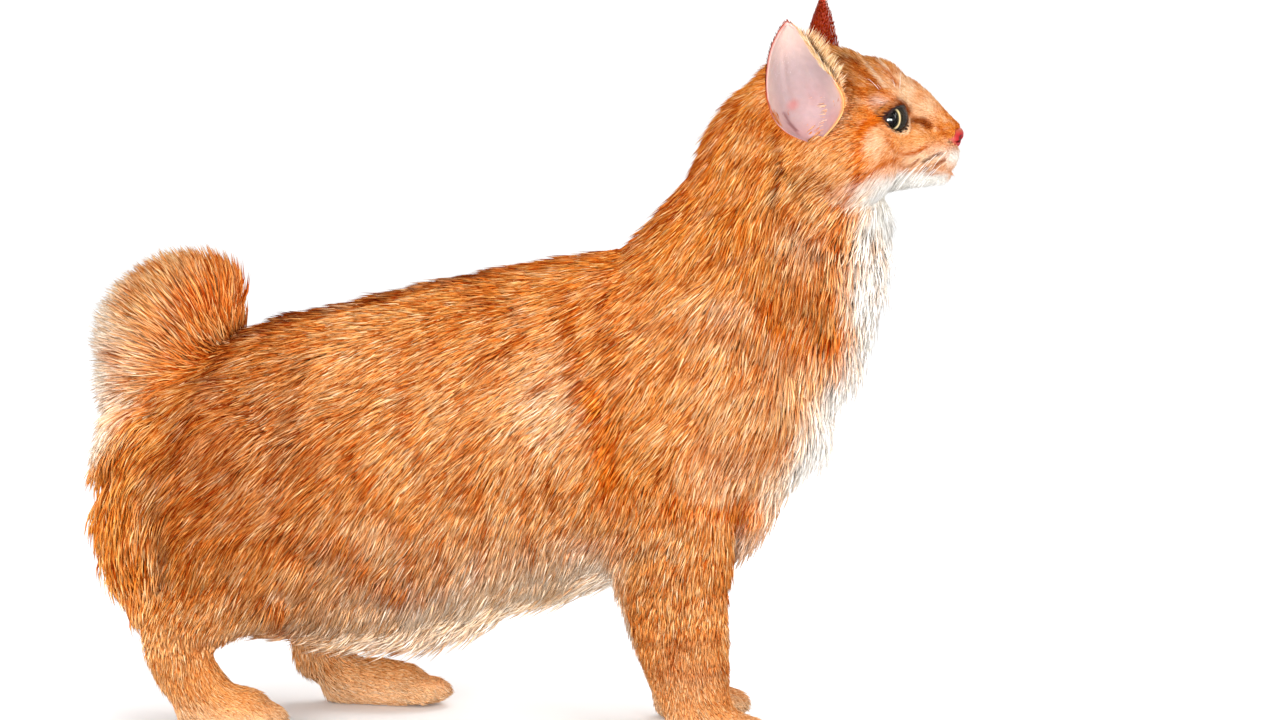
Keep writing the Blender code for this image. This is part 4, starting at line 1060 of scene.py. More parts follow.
MARKS = (
    Mark(RUST, 9, 0.45, ((598, 280), (602, 330), (612, 370), (622, 400))),
    Mark(RUST, 10, 0.60, ((562, 300), (566, 345), (578, 385))),
    Mark(BLAZE, 13, 0.85, ((590, 405), (600, 440), (604, 475), (612, 505))),
    Mark(RUST, 8, 0.45, ((512, 300), (516, 340), (500, 356))),
    Mark(RUST, 8, 0.50, ((482, 292), (484, 340), (480, 372))),
    Mark(RUST, 7, 0.45, ((436, 340), (426, 368), (440, 386))),
    Mark(RUST, 7, 0.55, ((400, 350), (402, 400), (406, 440), (416, 462))),
    Mark(RUST, 6, 0.55, ((462, 440), (470, 468), (462, 500))),
    Mark(RUST, 7, 0.45, ((516, 440), (526, 470))),
    Mark(RUST, 5, 0.65, ((546, 485), (556, 520))),
    Mark(RUST, 7, 0.65, ((345, 455), (365, 500), (392, 518), (405, 540))),
    Mark(BROWN, 6, 0.45, ((300, 370), (290, 420), (286, 455), (302, 462))),
    Mark(BROWN, 6, 0.50, ((262, 495), (268, 538), (300, 546), (322, 560))),
    Mark(RUST, 7, 0.60, ((325, 535), (342, 560), (366, 580), (398, 600))),
    Mark(RUST, 6, 0.45, ((402, 555), (420, 600))),
    Mark(RUST, 6, 0.45, ((432, 540), (444, 590))),
    Mark(RUST, 5, 0.45, ((485, 520), (478, 570))),
    Mark(RUST, 5, 0.45, ((520, 510), (530, 560))),
    Mark(BROWN, 6, 0.40, ((230, 600), (262, 615), (290, 640))),
    Mark(BROWN, 6, 0.35, ((150, 480), (165, 540), (160, 600))),
    Mark(BROWN, 9, 0.75, ((205, 345), (240, 335), (300, 315), (400, 290), (500, 267))),
    Mark(RUST, 9, 0.65, ((500, 266), (560, 258), (640, 244), (690, 190), (730, 110))),
    # Painted shadow in the crease between the tail and the rump.
    Mark(BROWN, 8, 0.95, ((240, 336), (222, 356), (200, 390), (182, 430), (172, 462))),
    Mark(BROWN, 3.5, 0.80, ((772, 138), (778, 156), (776, 180), (771, 200), (775, 214))),
    Mark(UMBER, 3.0, 0.75, ((779, 171), (795, 186), (806, 203), (818, 218))),
    Mark(BROWN, 2.5, 0.75, ((797, 168), (812, 180), (824, 192), (832, 200))),
    Mark(UMBER, 3.2, 0.75, ((771, 198), (775, 212), (783, 227))),
    Mark(BROWN, 3.5, 0.80, ((783, 227), (796, 241), (812, 251), (838, 262))),
    Mark(RUST, 3.0, 0.70, ((786, 216), (800, 228), (820, 242), (838, 256))),
    Mark(BROWN, 3.0, 0.75, ((770, 258), (785, 275), (800, 292), (818, 308), (828, 318))),
    Mark(RUST, 3.5, 0.75, ((775, 288), (795, 296), (812, 302))),
    Mark(BROWN, 3.0, 0.65, ((758, 315), (780, 318), (805, 325), (825, 337))),
    Mark(BLAZE, 7.0, 0.95, ((762, 322), (780, 340), (795, 350), (820, 352), (848, 346))),
    Mark(BROWN, 3.0, 0.50, ((700, 222), (718, 214))),
    Mark(RUST, 4.0, 0.60, ((700, 262), (730, 264), (755, 256))),
    Mark(RUST, 7.0, 0.50, ((640, 330), (690, 335), (735, 345))),
    Mark(RUST, 5, 0.50, ((735, 455), (770, 448), (795, 440))),
    Mark(BLAZE, 8, 0.90, ((668, 512), (700, 517), (748, 520))),
    Mark(BROWN, 4, 0.80, ((628, 557), (655, 549), (672, 552), (680, 560))),
    Mark(RUST, 6, 0.25, ((640, 578), (690, 574), (738, 566))),
    Mark(RUST, 6, 0.45, ((680, 606), (706, 602), (732, 596))),
    Mark(RUST, 7, 0.22, ((628, 636), (690, 644), (732, 636))),
    Mark(RUST, 7, 0.18, ((636, 672), (690, 678), (738, 668))),
    Mark(BLAZE, 5, 0.80, ((876, 119), (864, 127), (857, 140), (856, 156), (857, 172))),
    Mark(RUST, 4, 0.75, ((857, 172), (851, 188), (842, 204))),
    Mark(RUST, 2.4, 0.95, ((893, 161), (880, 165), (868, 174), (857, 184), (846, 197))),
    Mark(RUST, 2.0, 0.70, ((887, 140), (893, 150), (903, 154), (915, 153), (925, 147))),
    Mark(BROWN, 3.6, 0.95, ((913, 120), (921, 121), (929, 126))),
    # Painted shade of the upper lid, along the top of the eye's opening.
    Mark(BROWN, 1.8, 0.90, ((898, 101), (903, 106), (908, 114))),
    Mark(RUST, 2.6, 0.75, ((938, 127), (945, 134))),
    Mark(BROWN, 2.6, 0.65, ((828, 61), (842, 59), (858, 63))),
    Mark(RUST, 3.0, 0.80, ((850, 64), (866, 76), (880, 90))),
    Mark(RUST, 2.6, 0.70, ((836, 76), (850, 84), (860, 96))),
    Mark(RUST, 2.2, 0.60, ((872, 56), (884, 68), (896, 84))),
    Mark(CREAM, 1.6, 0.90, ((864, 62), (874, 74), (884, 86))),
    Mark(CREAM, 1.4, 0.80, ((878, 60), (888, 70))),
    Mark(RUST, 1.8, 0.45, ((890, 70), (905, 72), (918, 84))),
    Mark(UMBER, 1.2, 0.65, ((930, 158), (922, 162))),
    Mark(UMBER, 1.2, 0.65, ((941, 154), (933, 156))),
    Mark(UMBER, 1.2, 0.65, ((926, 168), (918, 177))),
    Mark(BROWN, 1.2, 0.70, ((944, 160), (934, 166))),
    Mark(BROWN, 1.2, 0.70, ((934, 169), (928, 178))),
    Mark(BROWN, 1.2, 0.70, ((918, 159), (911, 166))),
    # Painted shade in the slit running back from the nostril.
    Mark(UMBER, 1.0, 0.95, ((949, 142), (957, 140))),
)
MARK_FORCE = 1.15
MARK_FORCE_MOST = 1.9
EAR_PATCH = Patch(BLUSH, 0.95, 818, 106, 22, 24)
# In the photo's pixels: the bib's edge as rows and columns, the belly's as columns and rows.
BIB_EDGE = (
    (190, 868), (220, 862), (260, 852), (300, 845), (345, 852), (380, 832), (420, 806), (500, 766),
)
BELLY_EDGE = ((200, 668), (300, 640), (350, 612), (400, 592), (450, 582), (500, 572), (600, 560))
WHISKER_ROWS = ((226, 11.5, 322.5, 4), (224.5, 13.5, 319.0, 5), (222, 15.5, 315.8, 4))
WHISKER_STEP = np.array((-4.3, 1.9, -0.5))
STREAK_WAY = unit((-0.8, 0.0, -0.6))
STREAK_DRAW = 0.72


def whisker_roots() -> Points:
    """The places on the left whisker pad, in the head's own frame, where whiskers grow."""
    roots = []
    for x, y, z, count in WHISKER_ROWS:
        roots += [np.array((x, y, z)) + WHISKER_STEP * k for k in range(count)]
    return np.array(roots)


def markings(points: Points, outward: Points) -> Paint:
    """The ginger tabby's colours, with painted shade in creases and recesses and some painted light.

    Args:
        points: Points of the skin.
        outward: The directions out of it there.

    Returns:
        The colours at the coat's roots and tips.
    """
    x, y, z = points.T
    side = np.abs(y)
    on_head = fade(-6.0, 10.0, beyond_neck(points))
    on_body = 1 - on_head
    tail = tail_share(points)
    rough = grain(points, 16, 1)
    fine = grain(points, 5, 2)
    wide = grain(points, 42, 3)
    seen = VIEW.pixels(near_side(points, on_head))
    u, v = seen.T
    paint = Paint(len(points))

    flow = x + (z - 150) * 0.30 + wide * 10 + rough * 6
    bars = fade(0.55, 1.0, np.cos(flow / 27.0 * 2 * math.pi)) * fade(95, 120, z) * fade(110, 60, x)
    paint.lay(bars * on_body * (0.35 + 0.3 * fine), RUST)
    speck = grain(points, 2.4, 41)
    face = on_head * fade(160, 185, moved(points, HEAD_BACK)[:, 0])
    paint.lay(fade(0.15, 0.6, speck) * face * 0.40, CREAM)
    paint.lay(fade(-0.15, -0.6, speck) * face * 0.45, RUST)
    for patch in (*PATCHES, EAR_PATCH):
        gap = ((u - patch.x) / patch.rx) ** 2 + ((v - patch.y) / patch.ry) ** 2
        paint.lay(np.exp(-gap) * patch.strength * (1 + 0.25 * fine), patch.shade)

    belly_line = np.interp(u, *zip(*BELLY_EDGE))
    belly = fade(-34, 26, v - belly_line + rough * 12) * fade(36, 46, z) * fade(66, 50, x)
    paint.lay(belly * on_body * 0.9, CREAM)
    belly = fade(0, 40, v - belly_line + rough * 10) * fade(36, 46, z) * fade(60, 44, x)
    paint.lay(belly * on_body * 0.40, WHITE)
    under = fade(-0.3, -0.8, outward[:, 2]) * fade(40, 60, z) * fade(-215, -190, x)
    paint.lay(under * on_body * 0.7, CREAM)
    paint.lay(under * on_body * fade(10, 60, x) * 0.7, WHITE)
    inner = fade(0.1, 0.7, -outward[:, 1] * np.sign(y)) * fade(115, 85, z)
    paint.lay(inner * on_body * fade(10, 20, side) * 0.7, CREAM)
    feet = fade(40, 12, z)
    paint.lay(feet * 0.6, AMBER)
    shin = fade(80, 45, z) * fade(-60, -75, x) * fade(24, 34, side)
    paint.lay(shin * 0.65, AMBER)
    paint.lay(fade(22, 6, z) * 0.5, CREAM)

    paint.lay(tail, GINGER)
    away = np.linalg.norm(points - TAIL_ROOT, axis=1)
    paint.lay(tail * fade(20, 46, away + rough * 5) * 0.85, AMBER)
    paint.lay(tail * fade(-214, -240, x + rough * 6) * 0.95, CREAM)
    paint.lay(tail * fade(-224, -246, x + rough * 6) * 0.45, WHITE)
    paint.lay(tail * fade(-214, -188, x + rough * 5 - (z - 230) * 0.3) * 0.8, BLAZE)

    for mark in MARKS:
        near = along_curve(seen, mark.line) + mark.width * (0.35 * rough + 0.3 * fine)
        force = min(MARK_FORCE + 0.1 * mark.width, MARK_FORCE_MOST)
        share = fade(mark.width * 1.35, mark.width * 0.45, near) * mark.strength * force
        paint.lay(share, mark.shade)

    bib_line = np.interp(v, *zip(*BIB_EDGE))
    bib = fade(-22, 6, u - bib_line + rough * 8) * fade(186, 205, v) * fade(530, 490, v)
    paint.lay(bib * fade(85, 100, x) * 0.8, CREAM)
    bib = fade(-8, 14, u - bib_line + rough * 8) * fade(186, 205, v) * fade(520, 470, v)
    paint.lay(bib * fade(85, 100, x), WHITE)
    facing = outward @ HEAD_TURN[:3, :3]
    chin = fade(-0.1, -0.6, facing[:, 2]) * fade(165, 185, moved(points, HEAD_BACK)[:, 0])
    paint.lay(chin * on_head * fade(168, 178, v), WHITE)
    for side in (1, -1):
        ring, above, front = round_lids(moved(points, HEAD_BACK), side)
        # Brown in the crease above each eye: painted shade under the brow; the cream below is the pale
        # fur under the eye.
        paint.lay(fade(1.60, 1.30, ring) * front * fade(-1.0, 3.0, above) * 0.9, BROWN)
        paint.lay(fade(1.45, 1.20, ring) * front * fade(0.0, -3.0, above) * 0.7, CREAM)

    drawn = points - STREAK_DRAW * np.outer(points @ STREAK_WAY, STREAK_WAY)
    streak = grain(drawn, 4.2, 31)
    calm = fade(4.0, 12.0, length_of(points))
    paint.lay(fade(0.10, 0.60, streak) * 0.45 * calm, AMBER)
    paint.lay(fade(-0.10, -0.65, streak) * 0.55 * calm * (1 - under) * (1 - bib), RUST)
    clump = 1 + 0.10 * fine + 0.08 * rough
    paint.root *= clump[:, None]
    return paint


def length_of(points: Points) -> Points:
    """A rough length of the coat at each point, short on the face and feet."""
    head = moved(points, HEAD_BACK)
    face = fade(165, 190, head[:, 0] + 0.25 * (head[:, 2] - 330))
    feet = fade(60, 30, points[:, 2]) * (np.abs(points[:, 1]) > 17)
    return 16.0 - 12.0 * np.maximum(face, feet)


def near_side(points: Points, on_head: Points) -> Points:
    """The points brought to the near side, so that both sides are marked alike.

    Args:
        points: Points of the skin.
        on_head: How far each belongs to the head, which is mirrored in its own frame.

    Returns:
        The points, or their mirror images.
    """
    far = points[:, 1] > 0
    body = points * np.where(far[:, None], (1, -1, 1), (1, 1, 1))
    step = (FORE_STEP[-1] - FORE_STEP[1]) * fade(120, 90, points[:, 2]) * (points[:, 0] > 0)
    body[:, 0] += step * far
    head = moved(points, HEAD_BACK)
    head[:, 1] = -np.abs(head[:, 1])
    share = (on_head > 0.5)[:, None]
    return np.where(share, moved(head, HEAD_TURN), body)


# The skin.


def eye_matrix(side: int) -> Points:
    """An eye's frame: Z along its line of sight and X along its lids, in the head's own frame."""
    axis = Vector(unit(EYE_AXIS * (1, side, 1)))
    across = Vector((0.0, 0.0, 1.0)).cross(axis).normalized() * -side
    across = Matrix.Rotation(LID_SLANT * side, 3, axis) @ across
    turn = Matrix((across, axis.cross(across), axis)).transposed().to_4x4()
    return np.array(Matrix.Translation(Vector(EYE_CENTRE * (1, side, 1))) @ turn)


def round_lids(head: Points, side: int) -> tuple[Points, Points, Points]:
    """How points lie about an eye's lids.

    Args:
        head: Points in the head's own frame.
        side: Which eye.

    Returns:
        The rings round the opening, 1 at its edge; how far above its middle; how far in front.
    """
    local = moved(head, np.linalg.inv(eye_matrix(side)))
    long = np.where(local[:, 0] < 0, LID_OUTER, LID_LONG)
    ring = np.hypot(local[:, 0] / long, local[:, 1] / LID_HIGH)
    return ring, -local[:, 1] * side, fade(2.0, 5.0, local[:, 2])


def lid_outline(count: int, grow: float = 0.0) -> Points:
    """The almond of the open lids, across and up in the eye's frame."""
    angles = np.arange(count) / count * 2 * math.pi
    high = np.abs(np.sin(angles)) ** 1.1 * np.sign(np.sin(angles))
    long = np.where(np.cos(angles) < 0, LID_OUTER, LID_LONG)
    return np.stack([(long + grow) * np.cos(angles), (LID_HIGH + grow) * high], axis=1)


def mouth_line() -> Points:
    """The points of the mouth from corner to corner, in the head's own frame."""
    left = smooth_stations([Station(*point, 0.0, 0.0, 0.0) for point in MOUTH], 3)[:, :3]
    return np.vstack([left, (left * (1, -1, 1))[-2::-1]])


def mouth_outward(points: Points) -> Points:
    """The level directions out of the lips at points of the mouth."""
    out = np.stack([points[:, 0] - MOUTH_CENTRE_X, points[:, 1] * 1.4, points[:, 0] * 0], axis=1)
    return out / np.linalg.norm(out, axis=1)[:, None]


@dataclass
class Flesh:
    """The one skin under the coat, from the nose to the tail and down to the paws."""

    voxel: float = 2.3
    body_rounds: int = 16
    head_rounds: int = 3
    sunk_rounds: int = 3
    lowest: float = 0.4

    def forms(self) -> list[Solid]:
        """Every closed form of the body, crossing one another."""
        forms = [loft(TRUNK, standing=True, domes=(0.55, 0.25)), loft(NECK)]
        for side in (1, -1):
            step = FORE_STEP[side]
            forms += [loft(mirrored(limb, side, step)) for limb in (FORELEG, FORE_PAW)]
            for x, y, z in FORE_TOES:
                forms.append(ellipsoid((x + step, y * side, z), FORE_TOE_RADII, 3))
            forms += [loft(mirrored(limb, side)) for limb in (THIGH, BREECHES)]
        forms += [loft(limb) for limb in (RIGHT_SHANK, RIGHT_FOOT, LEFT_SHANK, LEFT_FOOT)]
        for at_x, at_y in HIND_TOES_AT:
            for dx, dy, z in HIND_TOES:
                forms.append(ellipsoid((at_x + dx, at_y + dy, z), HIND_TOE_RADII, 3))
        forms += [ellipsoid(b[:3], b[3:]) for b in TAIL_CORE]
        head = [loft(BRIDGE), loft(JAW)] + [ellipsoid(b[:3], b[3:]) for b in SKULL]
        for side in (1, -1):
            head += [ellipsoid((b.x, b.y * side, b.z), b[3:]) for b in PAIRED_SKULL]
            head.append(ellipsoid(EYE_CENTRE * (1, side, 1), [EYE_RADIUS + LID_THICKNESS] * 3))
        return forms + [turned(form) for form in head]

    def build(self) -> Object:
        """The skin as an object with every opening cut.

        Returns:
            The object, not yet coloured.
        """
        skin = remeshed(mesh_of("skin", self.forms()), self.voxel)
        LOG.info("skin remeshed: %d points", len(skin.data.vertices))
        head = self.head_share(places(skin))
        softened(skin, self.head_rounds)
        softened(skin, self.body_rounds - self.head_rounds, 1 - head)
        points, outward = places(skin), normals(skin)
        points -= outward * comb(points, outward).depth[:, None]
        points[:, 2] = np.maximum(points[:, 2], self.lowest)
        set_places(skin, points)
        softened(skin, self.sunk_rounds, 1 - head)
        self.refine_face(skin)
        self.shape_face(skin)
        self.open_face(skin)
        return skin

    def head_share(self, points: Points) -> Points:
        """How far each point belongs to the finely made head."""
        head = moved(points, HEAD_BACK)
        return fade(160, 185, head[:, 0] + 0.4 * (head[:, 2] - 330))

    def refine_face(self, skin: Object) -> None:
        """Splits the face's faces in four."""
        head = moved(places(skin), HEAD_BACK)
        inside = (head[:, 0] > 184) & (head[:, 2] > 298)
        shape = bmesh.new()
        shape.from_mesh(skin.data)
        shape.verts.ensure_lookup_table()
        edges = [e for e in shape.edges if inside[e.verts[0].index] and inside[e.verts[1].index]]
        bmesh.ops.subdivide_edges(shape, edges=edges, cuts=1, use_grid_fill=True, smooth=0.7)
        bmesh.ops.triangulate(shape, faces=[f for f in shape.faces if len(f.verts) > 4])
        shape.to_mesh(skin.data)
        shape.free()

    def shape_face(self, skin: Object) -> None:
        """Adds the folds of the face: lids, whisker pads, lips and the wings of the nose."""
        points = places(skin)
        outward = normals(skin)
        head = moved(points, HEAD_BACK)
        folded = head * (1, 0, 1) + np.abs(head) * (0, 1, 0)
        push = np.zeros(len(points))
        mouth = along_curve(head, mouth_line())
        push += 0.7 * np.exp(-(((mouth - 1.9) / 1.1) ** 2)) - 0.5 * np.exp(-((mouth / 0.9) ** 2))
        for x, y, z, count in WHISKER_ROWS:
            start = np.array((x, y, z))
            row = (start, start + WHISKER_STEP * (count - 1))
            push += 0.35 * np.exp(-((along_curve(folded, row) / 1.2) ** 2))
        wing = along_curve(folded, ((229.5, 6.5, 333.5), (231, 8.2, 330), (230.5, 6.0, 326.5)))
        push += 0.5 * np.exp(-((wing / 1.5) ** 2))
        groove = along_curve(folded, ((226, 9.3, 333), (227.5, 10.6, 329), (228.5, 8.0, 325.5)))
        push -= 0.5 * np.exp(-((groove / 1.2) ** 2))
        lip = np.linalg.norm((folded - (231.5, 3.0, 321.0)) / (4.0, 6.0, 3.6), axis=1)
        push += 1.5 * np.exp(-(lip**2))
        middle = along_curve(folded, ((233, 0, 324.5), (233, 0, 316.5)))
        push -= 0.9 * np.exp(-((middle / 1.0) ** 2))
        for side in (1, -1):
            ring, above, front = round_lids(head, side)
            push += front * 0.45 * np.exp(-(((ring - 1.18) / 0.12) ** 2))
            push -= front * 0.7 * np.exp(-(((ring - 1.5) / 0.14) ** 2)) * fade(-2, 3, above)
            push -= front * 0.35 * np.exp(-(((ring - 1.5) / 0.16) ** 2)) * fade(2, -3, above)
        set_places(skin, points + outward * push[:, None])

    def open_face(self, skin: Object) -> None:
        """Cuts the openings of the lids, the sockets, the hollows of the ears and the mouth."""
        for side in (1, -1):
            outline = lid_outline(48)
            rings = [np.column_stack([outline, np.full(48, depth)]) for depth in (0.0, 30.0)]
            bar = Solid(np.vstack(rings), ring_faces(2, 48))
            cut(skin, turned(turned(bar, eye_matrix(side))))
            cut(skin, turned(ellipsoid(EYE_CENTRE * (1, side, 1), [EYE_RADIUS + 0.15] * 3)))
            cut(skin, turned(Ear.of(side).hollow()))
        line = mouth_line()
        out = mouth_outward(line)
        up = np.array((0.0, 0.0, 0.45))
        rings = []
        for point, way in zip(line, out):
            inner, outer = point - way * 4.0, point + way * 12.0
            rings.append(np.array([inner - up, outer - up * 1.6, outer + up * 1.6, inner + up]))
        cut(skin, turned(Solid(np.vstack(rings), ring_faces(len(rings), 4))))
        cut(skin, turned(Nose().block(0.1)))


# The ears, the nose, the eyes and the whiskers.


class Place(NamedTuple):
    """Where an ear stands: its root, its way up and the way its hollow points."""

    root: tuple[float, float, float]
    tip: tuple[float, float, float]
    facing: tuple[float, float, float]
    fringe: float = 1.0


class Growth(NamedTuple):
    """What grows at each point of a host: in millimetres, with tufts to a square one."""

    grow: Points
    span: Points
    breadth: Points
    density: Points
    root: Points
    tip: Points


class EarBands(NamedTuple):
    """How far each of an ear's points lies up, across from the front, and in each band of fur."""

    share: Points
    column: Points
    front: Points
    low: Points
    fringe: Points
    temple: Points
    pale: Points


EAR_PLACES = {
    -1: Place((154.0, 36.0, 346.0), (-0.20, 0.19, 0.96), (0.20, 0.98, 0.0)),
    1: Place((149.0, 35.0, 348.0), (0.15, 0.08, 0.98), (0.96, 0.28, 0.0), 0.0),
}


@dataclass
class Ear:
    """One cupped ear on its own side of the head."""

    side: int
    place: Place
    height: float = 54.0
    sunk: float = 9.5
    half_widths: tuple[float, ...] = (5.0, 13.5, 18.5, 20.8, 21.0, 20.0, 18.0, 15.0, 10.8, 3.2)
    spread_low: float = 112.0
    spread_tip: float = 50.0
    thickness: float = 1.3
    narrow: float = 0.34
    hollow_radii: tuple[float, float, float] = (15.5, 16.0, 15.0)
    hollow_ahead: float = 10.0
    hollow_up: float = 9.0
    rows: int = 44
    columns: int = 40

    @classmethod
    def of(cls, side: int) -> "Ear":
        """The ear of one side."""
        return cls(side, EAR_PLACES[side])

    def axes(self) -> tuple[Points, Points, Points, Points]:
        """The ear's root and its ways up, across to the front and out of the cup."""
        flip = np.array((1, self.side, 1))
        root, up, facing = (np.array(p, float) * flip for p in self.place[:3])
        up = unit(up)
        facing = unit(facing - up * (facing @ up))
        return root, up, np.cross(up, facing) * self.side, facing

    def sheet(self, inset: float) -> Points:
        """The points of one face of the ear, in rows from its foot to its tip.

        Args:
            inset: How far that face lies inside the ear's back.

        Returns:
            An array of rows, columns and the three axes.
        """
        root, up, across, facing = self.axes()
        share = np.arange(self.rows + 1) / self.rows
        known = np.linspace(0, 1, len(self.half_widths))
        width = np.interp(share, known, self.half_widths)
        for _ in range(6):
            width[1:-1] = (width[:-2] + 2 * width[1:-1] + width[2:]) / 4
        width[-1] = 2.2
        grid = np.empty((self.rows + 1, self.columns + 1, 3))
        for i in range(self.rows + 1):
            s = share[i]
            height = -self.sunk + (self.height + self.sunk) * s
            spread = math.radians(self.spread_low + (self.spread_tip - self.spread_low) * s)
            radius = width[i] / math.sin(min(spread, math.pi / 2))
            turn = (2 * np.arange(self.columns + 1) / self.columns - 1) * spread
            inner = radius - inset * np.cos(turn / 2)
            if inset:
                inner = inner - self.folds(s, turn / spread)
            forward = 9.0 - 7.0 * s * s - inner * np.cos(turn)
            forward = forward + radius * (0.35 + 0.65 * math.cos(spread))
            tip_round = 1.4 * np.sin(np.linspace(0, math.pi, self.columns + 1)) * fade(0.9, 1, s)
            aside = inner * np.sin(turn)
            aside = np.where(aside < 0, aside * (1 - self.narrow * fade(0.15, 0.75, s)), aside)
            grid[i] = root + up * (height - inset * s + tip_round)[:, None]
            grid[i] += facing * forward[:, None] + across * aside[:, None]
        return grid

    def folds(self, s: float, u: Points) -> Points:
        """How far the ridges in the cup stand up, at a height and along the way across."""
        ridge = 1.0 * np.exp(-(((u - 0.18 - 0.2 * s) / 0.07) ** 2)) * fade(0.15, 0.35, s)
        ridge = ridge * fade(0.85, 0.6, s)
        second = 0.7 * np.exp(-(((u + 0.25 - 0.1 * s) / 0.08) ** 2)) * fade(0.1, 0.3, s)
        return ridge + second * fade(0.7, 0.5, s)

    def solid(self) -> Solid:
        """The whole ear as one closed form."""
        grids = [self.sheet(0.0), self.sheet(self.thickness)]
        points = np.vstack([g.reshape(-1, 3) for g in grids])
        wide = self.columns + 1
        inner = wide * (self.rows + 1)
        faces = []
        for i in range(self.rows):
            for j in range(self.columns):
                a = i * wide + j
                faces.append((a, a + 1, a + wide + 1, a + wide))
                faces.append((inner + a, inner + a + wide, inner + a + wide + 1, inner + a + 1))
            for j in (0, self.columns):
                a = i * wide + j
                faces.append((a, a + wide, inner + a + wide, inner + a))
        for i in (0, self.rows):
            for j in range(self.columns):
                a = i * wide + j
                faces.append((a, a + 1, inner + a + 1, inner + a))
        return Solid(points, faces)

    def hollow(self) -> Solid:
        """The ellipsoid that hollows the head at the ear's foot."""
        _, up, across, facing = self.axes()
        ball = ellipsoid((0, 0, 0), self.hollow_radii)
        frame_axes = np.stack([across, facing, up], axis=1)
        return Solid(ball.points @ frame_axes.T + self.hollow_centre(), ball.faces)

    def hollow_centre(self) -> Points:
        """The middle of the ellipsoid that hollows the head."""
        root, up, _, facing = self.axes()
        return root + facing * self.hollow_ahead + up * self.hollow_up

    def coat_host(self, name: str) -> Object:
        """The ear's back and its cup, with the fur that grows on them.

        Args:
            name: The name of the ear's coat.

        Returns:
            The host of the ear's coat.
        """
        back, cup = (self.sheet(inset).reshape(-1, 3) for inset in (0.0, self.thickness))
        out = back - cup
        out /= np.linalg.norm(out, axis=1)[:, None] + 1e-9
        wide = self.columns + 1
        faces = []
        for layer in range(2):
            for i in range(self.rows):
                for j in range(self.columns):
                    a = i * wide + j + layer * len(back)
                    ring = (a, a + 1, a + wide + 1, a + wide)
                    faces.append(ring if (layer == 0) == (self.side > 0) else ring[::-1])
        furs = (self.back_fur(out), self.cup_fur(out))
        growth = Growth(*(np.concatenate(parts) for parts in zip(*furs)))
        grow = growth.grow / np.linalg.norm(growth.grow, axis=1)[:, None]
        growth = growth._replace(grow=grow @ HEAD_TURN[:3, :3].T)
        return planted(name, Solid(moved(np.vstack([back, cup]), HEAD_TURN), faces), growth)

    def bands(self) -> EarBands:
        """The bands of the ear that its fur differs in."""
        share, column = self.shares()
        fringe = fade(0.36, 0.50, share) * fade(0.97, 0.80, share)
        pale = np.tile((0.94, 0.50, 0.20), (len(share), 1))
        tint(pale, (0.97, 0.66, 0.37), fringe)
        front = fade(0.20, 0.05, column) * self.place.fringe
        temple = fade(0.22, 0.08, column) * fade(0.52, 0.42, share)
        return EarBands(share, column, front, fade(0.55, 0.15, share), fringe, temple, pale)

    def back_fur(self, out: Points) -> Growth:
        """The short fur of the ear's back, with the long hairs at its foot and front rim.

        Args:
            out: The directions out of the back at its points.

        Returns:
            What grows there, in the head's own frame.
        """
        _, up, across, facing = self.axes()
        share, column, front, low, fringe, temple, pale = self.bands()
        spill = fade(0.84, 0.96, column) * fade(0.52, 0.34, share)
        lift = np.radians(7 + 14 * low)[:, None]
        grow = up * np.cos(lift) + out * np.sin(lift)
        over_rim = up * 0.90 + across * 0.36 + facing * 0.22
        tint(grow, over_rim, front * fade(0.30, 0.45, share))
        tint(grow, up * 0.86 + facing * 0.34, spill)
        tint(grow, up * 0.40 - across * 0.10 + facing * 0.80, temple)
        span = 2.6 + 5.5 * low - 1.0 * fade(0.75, 0.95, share)
        span += (2.6 + 7.0 * fringe - span) * front
        span += (4.5 - span) * np.maximum(temple, spill)
        tip = np.array((0.66, 0.045, 0.002)) * (1 - 0.25 * share[:, None])
        tint(tip, pale, front)
        tint(tip, (0.93, 0.46, 0.16), np.maximum(temple, low * 0.6))
        tint(tip, (0.10, 0.02, 0.006), fade(0.93, 0.97, column) * fade(0.45, 0.60, share))
        density = 2.0 * fade(0.16, 0.26, share)
        # Roots darker than tips: painted shade deep in the fur.
        root = tip * (0.55 + 0.3 * front)[:, None]
        return Growth(grow, span, np.full(len(share), 0.45), density, root, tip)

    def cup_fur(self, out: Points) -> Growth:
        """The fringe at the front of the cup, the hairs at the temple and the fine down.

        Args:
            out: The directions out of the back at its points.

        Returns:
            What grows there, in the head's own frame.
        """
        _, up, across, facing = self.axes()
        share, column, _, _, fringe, temple, pale = self.bands()
        strong = fade(0.30, 0.12, column) * fringe * self.place.fringe
        grow = up * 0.95 - across * 0.1 - out * 0.10
        tint(grow, up * 0.70 + facing * 0.35 - across * 0.60, strong)
        tint(grow, up * 0.60 - across * 0.45 + facing * 0.60, temple)
        down = fade(0.50, 0.60, share) * fade(0.98, 0.90, share) * 0.6
        down += 1.2 * strong + 1.3 * temple * fade(0.22, 0.36, share)
        tip = np.tile((0.90, 0.76, 0.72), (len(share), 1))
        tint(tip, pale, strong)
        tint(tip, (0.96, 0.62, 0.35), temple)
        span = 2.2 + 9.0 * strong + 2.6 * temple
        breadth = 0.16 + 0.26 * strong + 0.12 * temple
        # Roots a little darker than tips: painted shade deep in the down.
        return Growth(grow, span, breadth, down, tip * 0.90, tip)

    def shares(self) -> tuple[Points, Points]:
        """How far up the ear and how far from its front rim each point of a sheet lies."""
        wide = self.columns + 1
        share = np.repeat(np.arange(self.rows + 1) / self.rows, wide)
        return share, np.tile(np.arange(wide) / self.columns, self.rows + 1)

